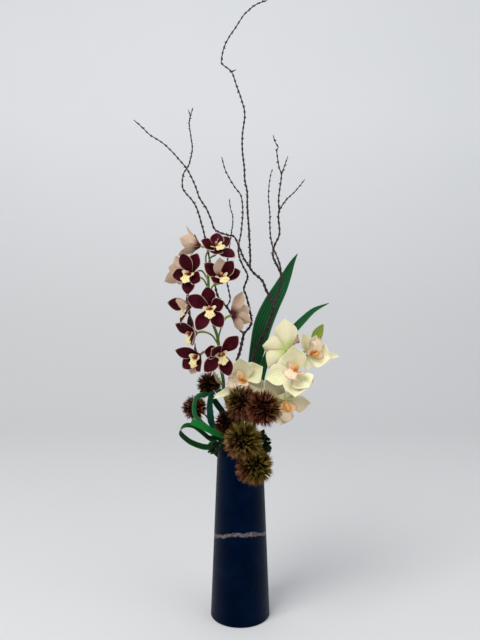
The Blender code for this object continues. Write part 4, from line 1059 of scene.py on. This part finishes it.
def add_leaf_stalk(shell):
    """Add the stalk from the white stem to its small leaf."""
    root, following = (Vector(point[:3]) for point in LEAVES["spray_leaf"][0][:2])
    way = (following - root).normalized()
    route = smooth_route([STEMS["white"][-2], LEAF_STALK_BEND, root - way * 8, root], STALK_STEP)
    shell.add_tube(route, PEDICEL_RADIUS, STALK_SIDES, ends=(0.3, 0.8))


def blended(ways, count):
    """Return a direction for each of a count of points, blended evenly from a few."""
    result = []
    for index in range(count):
        place = index / (count - 1) * (len(ways) - 1)
        first = min(int(place), len(ways) - 2)
        result.append(Vector(ways[first]).lerp(Vector(ways[first + 1]), place - first))
    return result


def ribbon_grid(route, ways, fold, columns, sag=0.0):
    """Return the middle surface of a blade swept along a route, whose points hold the width after z."""
    places = [point.to_3d() for point in route]
    rows = []
    share = np.linspace(-1, 1, columns)
    widths = [point.w for point in route]
    for place, direction, width, across in zip(places, tangents(places), widths, blended(ways, len(route))):
        side_way = (across - direction * across.dot(direction)).normalized()
        normal = side_way.cross(direction)
        lift = fold * width / 2 * np.sqrt(share ** 2 + 0.01) + sag * width / 2 * share ** 2
        line = np.outer(share * width / 2, side_way) + np.outer(lift, normal)
        rows.append(np.array(place) + line)
    return np.array(rows)


def build_stem(kind, finishes):
    """Build a flowering stem with its pedicels and bracts."""
    node = kind + "_stem"
    shell = Shell()
    route = smooth_route(STEMS[kind], STEM_STEP)
    radii = np.linspace(STEM_RADIUS, STEM_TIP_RADIUS, len(route) + 1)
    shell.add_tube([foot_of(node)] + route, radii, STEM_SIDES, ends=(0, 0.4))
    for centre, facing, _, leaves_at, _ in BLOOMS[kind]:
        foot = point_at_height(route, leaves_at)
        add_pedicel(shell, foot, centre, facing)
        add_small_bract(shell, foot, centre)
    if kind == "white":
        add_leaf_stalk(shell)
    else:
        grid = ribbon_grid(smooth_route(DRY_BRACT, BRACT_STEP), [DRY_BRACT_ACROSS], MIDRIB_FOLD, 9)
        shell.add_sheet(grid, LEAF_THICKNESS, 1)
    shell.build("stem_" + kind, node, [finishes["stem"], finishes["bract"]])


def build_leaves(finishes):
    """Build the two strap leaves and the small leaf of the white spray."""
    for node, (points, across, spacing, columns, slot) in LEAVES.items():
        route = smooth_route(points, spacing)
        if node in STEM_SPOTS:
            route = [Vector((*foot_of(node), points[0][3]))] + route
        shell = Shell()
        shell.add_sheet(ribbon_grid(route, [across], MIDRIB_FOLD, columns), LEAF_THICKNESS)
        shell.build("blade_" + node, node, [finishes[slot]])


def tucked_end(angle):
    """Return the two points where a loop goes into the mouth and leans on its wall."""
    way = Vector((math.cos(math.radians(angle)), math.sin(math.radians(angle)), 0))
    low = VASE_HEIGHT - TUCKED_DEPTH
    share = (low - CAVITY_FLOOR) / (VASE_HEIGHT - CAVITY_FLOOR)
    wall = CAVITY_RADIUS + (MOUTH_RADIUS - CAVITY_RADIUS) * share
    seat = way * (wall - TUCKED_GAP) + Vector((0, 0, low))
    inside = way * TUCKED_RADIUS + Vector((0, 0, VASE_HEIGHT))
    return [(*seat, TUCKED_WIDTH), (*inside, LOOP_WIDTH * 0.6)]


def build_grass(finishes):
    """Build the grass blades, three bent into loops and one with a cut end."""
    for node, (start_angle, points, end_angle, ways) in LOOPS.items():
        knots = tucked_end(start_angle) + [(*point, LOOP_WIDTH) for point in points]
        if end_angle is not None:
            knots += tucked_end(end_angle)[::-1]
        shell = Shell()
        grid = ribbon_grid(smooth_route(knots, LOOP_STEP), ways, 0.0, LOOP_COLUMNS, LOOP_SAG)
        shell.add_sheet(grid, LEAF_THICKNESS)
        shell.build("blade_" + node, node, [finishes[node]])


def add_boxwood_leaf(shell, root, outward, up, size, twist):
    """Add one small oval leaf, domed and folded a little along its rib."""
    side_way = Matrix.Rotation(twist, 3, outward) @ outward.cross(up).normalized()
    normal = np.array(side_way.cross(outward))
    share = np.linspace(0, 1, BOXWOOD_ROWS)
    across = np.linspace(-1, 1, BOXWOOD_COLUMNS)
    half = BOXWOOD_LEAF_WIDTH / 2 * size * np.maximum(np.sin(math.pi * share ** 0.8) ** 0.6, 0.08)[:, None]
    droop = np.outer(BOXWOOD_DROOP * size * share ** 2, normal)
    middle = np.array(root) + np.outer(share * BOXWOOD_LEAF_LENGTH * size, outward) - droop
    dome = half * (BOXWOOD_FOLD * np.abs(across) - BOXWOOD_DOME * across ** 2)
    shell.add_sheet(laid_out(middle, np.array(side_way), half * across, normal, dome), BOXWOOD_THICKNESS)


def near_mouth(place, beside, above):
    """Tell whether a place is in the vase, or nearer than these distances beside or above it."""
    return place.xy.length < VASE_RIM_RADIUS + beside and place.z < VASE_HEIGHT + above


def build_boxwood(node, points, finishes):
    """Build a sprig of boxwood, its leaves in crossed pairs."""
    route = smooth_route(points, BOXWOOD_STEP)
    shell = Shell()
    shell.add_tube([foot_of(node)] + route, STEM_SPOTS[node][2], BOXWOOD_SIDES, 1, ends=(0, 1))
    draw = random.Random(node)
    spin = draw.uniform(0, 360)
    for place, way in zip(route, tangents(route)):
        if near_mouth(place, *LEAFLESS):
            continue
        spin += 90
        for turn in (0, 180):
            angle = math.radians(spin + turn + draw.uniform(-BOXWOOD_SPIN, BOXWOOD_SPIN))
            across = Matrix.Rotation(angle, 3, way) @ way.orthogonal().normalized()
            outward = (across + way * draw.uniform(*BOXWOOD_SLANTS)).normalized()
            twist = math.radians(draw.uniform(-BOXWOOD_TWIST, BOXWOOD_TWIST))
            if near_mouth(place + outward * BOXWOOD_LEAF_LENGTH, *TIPLESS):
                continue
            add_boxwood_leaf(shell, place, outward, way, draw.uniform(*BOXWOOD_SIZES), twist)
    shell.build("sprig_" + node, node, [finishes["boxwood"], finishes["boxwood_stem"]])


def build_twigs(material, draw):
    """Build the twigs that carry the burrs, with a stalk up into each burr."""
    for node, (points, radius, stalks) in BURR_TWIGS.items():
        route = [foot_of(node)] + smooth_route(points, STALK_STEP)
        shell = Shell()
        shell.add_tube(route, radius, STALK_SIDES, knob=0.0)
        for burr_index, joint in stalks:
            centre, size, stalk = BURRS[burr_index][:3]
            way = Vector(stalk).normalized()
            end = Vector(centre) + way * size * BURR_CORE * 0.95
            stalk_route = smooth_route([points[joint], end + way * size * 0.5, end], STALK_STEP)
            add_limb(shell, stalk_route, BURR_STALK_RADIUS, BURR_STALK_RADIUS * 0.9, draw)
        shell.build("wood_" + node, node, [material])


def even_directions(count):
    """Return directions spread evenly over a sphere."""
    ways = []
    for index in range(count):
        z = 1 - (2 * index + 1) / count
        angle = index * math.pi * (3 - math.sqrt(5))
        radius = math.sqrt(1 - z * z)
        ways.append(Vector((radius * math.cos(angle), radius * math.sin(angle), z)))
    return ways


def spine_reach(centre, way, core, full, neighbours):
    """Return how far a spine grows before it comes near a neighbour."""
    reach = core
    while reach < full:
        place = (centre + way * (reach + SPINE_STEP)) * MM
        if neighbours.find_nearest(place, SPINE_CLEARANCE * MM)[0] is not None:
            return max(core, reach)
        reach += SPINE_STEP
    return full


def strayed(draw, spread):
    """Return a short step to any side."""
    return Vector([draw.gauss(0, spread) for _ in range(3)])


def spine_points(root, tip, bend):
    """Return the points of one thin three-sided spine, bent a little."""
    reach = (tip - root).length
    way = (tip - root).normalized()
    side = way.orthogonal().normalized()
    other = way.cross(side)
    points = []
    for share, thick in SPINE_SECTIONS:
        middle = root + way * reach * share + bend * reach * share ** 2
        for corner in range(3):
            angle = 2 * math.pi * corner / 3
            outward = side * math.cos(angle) + other * math.sin(angle)
            points.append(middle + outward * SPINE_WIDTH / 2 * thick)
    points.append(root + way * reach + bend * reach)
    return points


def tufts_of_spines(burr, neighbours, draw):
    """Return the points of every spine of a burr, and with each its tint and how olive it is."""
    centre, radius, stalk, olive, olive_side, _ = burr
    centre = Vector(centre)
    core = radius * BURR_CORE
    points = []
    colours = []
    for way in even_directions(round(SPINE_TUFTS * (radius / TUFTED_RADIUS) ** 1.2)):
        if way.dot(Vector(stalk).normalized()) > STALK_GAP:
            continue
        middle = (way + strayed(draw, TUFT_LEAN)).normalized()
        tint = draw.uniform(0, 1)
        long = draw.uniform(*TUFT_LENGTHS)
        green = olive + OLIVE_CHANGE * middle.dot(Vector(olive_side))
        reach = spine_reach(centre, middle, core, radius * SPINE_OVERSHOOT, neighbours)
        if reach < core + SHORTEST_SPINE:
            continue
        for _ in range(SPINES_PER_TUFT):
            outward = (middle + strayed(draw, SPINE_SPREAD)).normalized()
            tip = centre + outward * reach * long * draw.uniform(*SPINE_LENGTHS)
            points += spine_points(centre + middle * core * 0.9, tip, strayed(draw, SPINE_BEND))
            colours.append((tint, green))
    return points, colours


def build_burr(number, neighbours, draw):
    """Build a burr: a small dark core with tufts of fine spines all round."""
    burr = BURRS[number]
    points, colours = tufts_of_spines(burr, neighbours, draw)
    shell = Shell()
    core = burr[1] * BURR_CORE
    angles = np.linspace(0, math.pi, CORE_RINGS + 1)
    ball, faces = turned([(core * math.sin(a), core * math.cos(a)) for a in angles], CORE_SIDES)
    # The core is near black: partly its dark body, partly painted shade between the spines
    shell.add(ball + np.array(burr[0]), faces, along=0.0, tint=0.5, olive=0.0)
    count = len(SPINE_SHARES)
    faces = [tuple(first + i for i in face) for first in range(0, len(points), count) for face in SPINE_FACES]
    tints, greens = np.repeat(colours, count, axis=0).T
    shell.add(points, faces, along=np.tile(SPINE_SHARES, len(colours)), tint=tints, olive=greens)
    node = f"burr_{number + 1}"
    shell.build("spines_" + node, node, [burr_material(f"burr_finish_{number + 1}", burr[-1])])


def tree_of_pieces():
    """Return a search tree of everything that is shown so far, for the spines to keep clear of."""
    points = []
    faces = []
    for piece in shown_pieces():
        if piece.type != "MESH" or piece.name.startswith("burr_"):
            continue
        offset = len(points)
        points += [vertex.co.copy() for vertex in piece.data.vertices]
        faces += [[offset + index for index in face.vertices] for face in piece.data.polygons]
    return BVHTree.FromPolygons(points, faces)


def make_finishes():
    """Return the finishes that several pieces share."""
    looks = {
        "burgundy_petal": (
            petal_material, (0.027, 0.0005, 0.0032), (0.055, 0.003, 0.009), (0.6, 0.42, 0.33),
            (0.6, 0.43, 0.31), (0.085, 0.008, 0.022), 0.12, 0.03, 0.05),
        "white_petal": (
            petal_material, (0.78, 0.77, 0.47), (0.88, 0.8, 0.58), (0.9, 0.88, 0.76),
            (0.76, 0.69, 0.46), (0.52, 0.58, 0.22), 0.07, 0.15, 0.2),
        "burgundy_lip": (
            lip_material, (0.8, 0.71, 0.4), (0.82, 0.66, 0.3), (0.22, 0.025, 0.012),
            (0.8, 0.68, 0.42), (0.25, 0.03, 0.02)),
        "white_lip": (
            lip_material, (0.8, 0.62, 0.38), (0.82, 0.68, 0.46), (0.72, 0.34, 0.09),
            (0.6, 0.25, 0.28), (0.6, 0.22, 0.2)),
        "burgundy_column": (column_material, (0.16, 0.018, 0.012), (0.5, 0.16, 0.07)),
        "white_column": (column_material, (0.7, 0.4, 0.14), (0.68, 0.27, 0.06)),
        "leaf": (leaf_material, (0.002, 0.05, 0.014), (0.014, 0.13, 0.036), (0.07, 0.22, 0.08), 7),
        "loop_low": (leaf_material, (0.0, 0.03, 0.004), (0.001, 0.085, 0.008), (0.005, 0.13, 0.02), 5),
        "loop_back": (
            leaf_material, (0.01, 0.12, 0.03), (0.03, 0.22, 0.07), (0.06, 0.26, 0.1), 5,
            LEAF_ROUGHNESS, (0.001, 0.03, 0.018)),
        "loop_front": (leaf_material, (0.0, 0.045, 0.025), (0.004, 0.085, 0.045), (0.01, 0.11, 0.06), 5),
        "grass_front": (leaf_material, (0.001, 0.1, 0.012), (0.006, 0.24, 0.035), (0.02, 0.25, 0.05), 5),
        "spray_leaf": (leaf_material, (0.16, 0.24, 0.03), (0.28, 0.36, 0.06), (0.35, 0.4, 0.12), 4),
        "boxwood": (
            leaf_material, (0.0, 0.004, 0.0008), (0.0015, 0.02, 0.0035), (0.006, 0.03, 0.006), 1, 0.6),
        "bract": (leaf_material, (0.32, 0.26, 0.14), (0.45, 0.36, 0.22), (0.5, 0.42, 0.28), 3, 0.6),
        "boxwood_stem": (stem_material, (0.1, 0.08, 0.04), (0.08, 0.11, 0.03), (0.05, 0.04, 0.02)),
        "stem": (stem_material, (0.022, 0.095, 0.006), (0.22, 0.29, 0.03), (0.05, 0.07, 0.012)),
    }
    return {name: make(name + "_finish", *values) for name, (make, *values) in looks.items()}


def build_object():
    """Build every finer piece, the burrs last because their spines keep clear of the rest."""
    finishes = make_finishes()
    bark = bark_material()
    draw = random.Random(DRAW_SEED)
    build_vase()
    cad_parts["water"].data.materials.clear()
    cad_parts["water"].data.materials.append(water_material())
    for node, limbs in BRANCHES.items():
        build_branch(node, limbs, bark, draw)
    for kind, blooms in BLOOMS.items():
        for number, (centre, facing, roll, _, tips) in enumerate(blooms, 1):
            build_bloom(f"{kind}_bloom_{number:02d}", kind, centre, facing, roll, tips, finishes)
        build_stem(kind, finishes)
    build_leaves(finishes)
    build_grass(finishes)
    for node, points in BOXWOOD.items():
        build_boxwood(node, points, finishes)
    build_twigs(bark, draw)
    neighbours = tree_of_pieces()
    for number in range(len(BURRS)):
        build_burr(number, neighbours, draw)


def build_stage():
    """Make the plain pale floor, which curves up into a plain backdrop, painted darker towards the floor as
    painted shade.
    """
    width, front, curve_start, curve_radius, height = 8.0, -4.0, 1.4, 1.2, 6.0
    profile = [(front, 0.0), (curve_start, 0.0)]
    for step in range(1, 17):
        angle = math.radians(90 * step / 16)
        profile.append((curve_start + curve_radius * math.sin(angle), curve_radius * (1 - math.cos(angle))))
    profile.append((curve_start + curve_radius, height))
    points = [(x, y, z) for y, z in profile for x in (-width / 2, width / 2)]
    faces = [(2 * i, 2 * i + 1, 2 * i + 3, 2 * i + 2) for i in range(len(profile) - 1)]
    mesh = bpy.data.meshes.new("backdrop")
    mesh.from_pydata(points, [], faces)
    mesh.shade_smooth()
    graph = Graph("backdrop_finish", roughness=0.9)
    cloud = graph.noise(graph.place(), 1.5)
    wall = graph.mix(cloud, (0.815, 0.825, 0.84), (0.855, 0.857, 0.86))
    z = graph.split(graph.place())[2]
    # Darker towards the floor and the foot of the backdrop: painted shade
    colour = graph.mix(graph.fit(z, 0.0, 1.6), (0.66, 0.66, 0.665), wall)
    mesh.materials.append(graph.finish(colour))
    backdrop = bpy.data.objects.new("backdrop", mesh)
    bpy.context.scene.collection.objects.link(backdrop)


def build_lights():
    """Light the scene as a plain soft studio does, brightest from above on the left."""
    for name, (place, size, power, colour) in LIGHTS.items():
        data = bpy.data.lights.new(name, "AREA")
        data.shape = "SQUARE"
        data.size = size
        data.energy = power
        data.color = colour
        light = bpy.data.objects.new(name, data)
        light.location = place
        light.rotation_euler = (Vector(LIGHT_AIM) - Vector(place)).to_track_quat("-Z", "Y").to_euler()
        bpy.context.scene.collection.objects.link(light)
    world = bpy.data.worlds.new("soft_room")
    world.use_nodes = True
    background = world.node_tree.nodes["Background"]
    background.inputs["Color"].default_value = ROOM_COLOUR
    background.inputs["Strength"].default_value = ROOM_STRENGTH
    bpy.context.scene.world = world
    bpy.context.scene.view_settings.view_transform = "Standard"


def build_camera():
    """Make the camera at the photograph's place, and look through it."""
    camera = bpy.data.objects.new("camera", bpy.data.cameras.new("camera"))
    camera.data.sensor_width = SENSOR
    camera.data.lens = FOCAL_PIXELS / PHOTO_HEIGHT * SENSOR
    level = math.cos(CAMERA_PITCH)
    way = Vector((math.sin(CAMERA_YAW) * level, math.cos(CAMERA_YAW) * level, -math.sin(CAMERA_PITCH)))
    camera.location = CAMERA_PLACE
    camera.rotation_euler = way.to_track_quat("-Z", "Y").to_euler()
    bpy.context.scene.collection.objects.link(camera)
    bpy.context.scene.camera = camera


build_object()
build_stage()
build_lights()
build_camera()
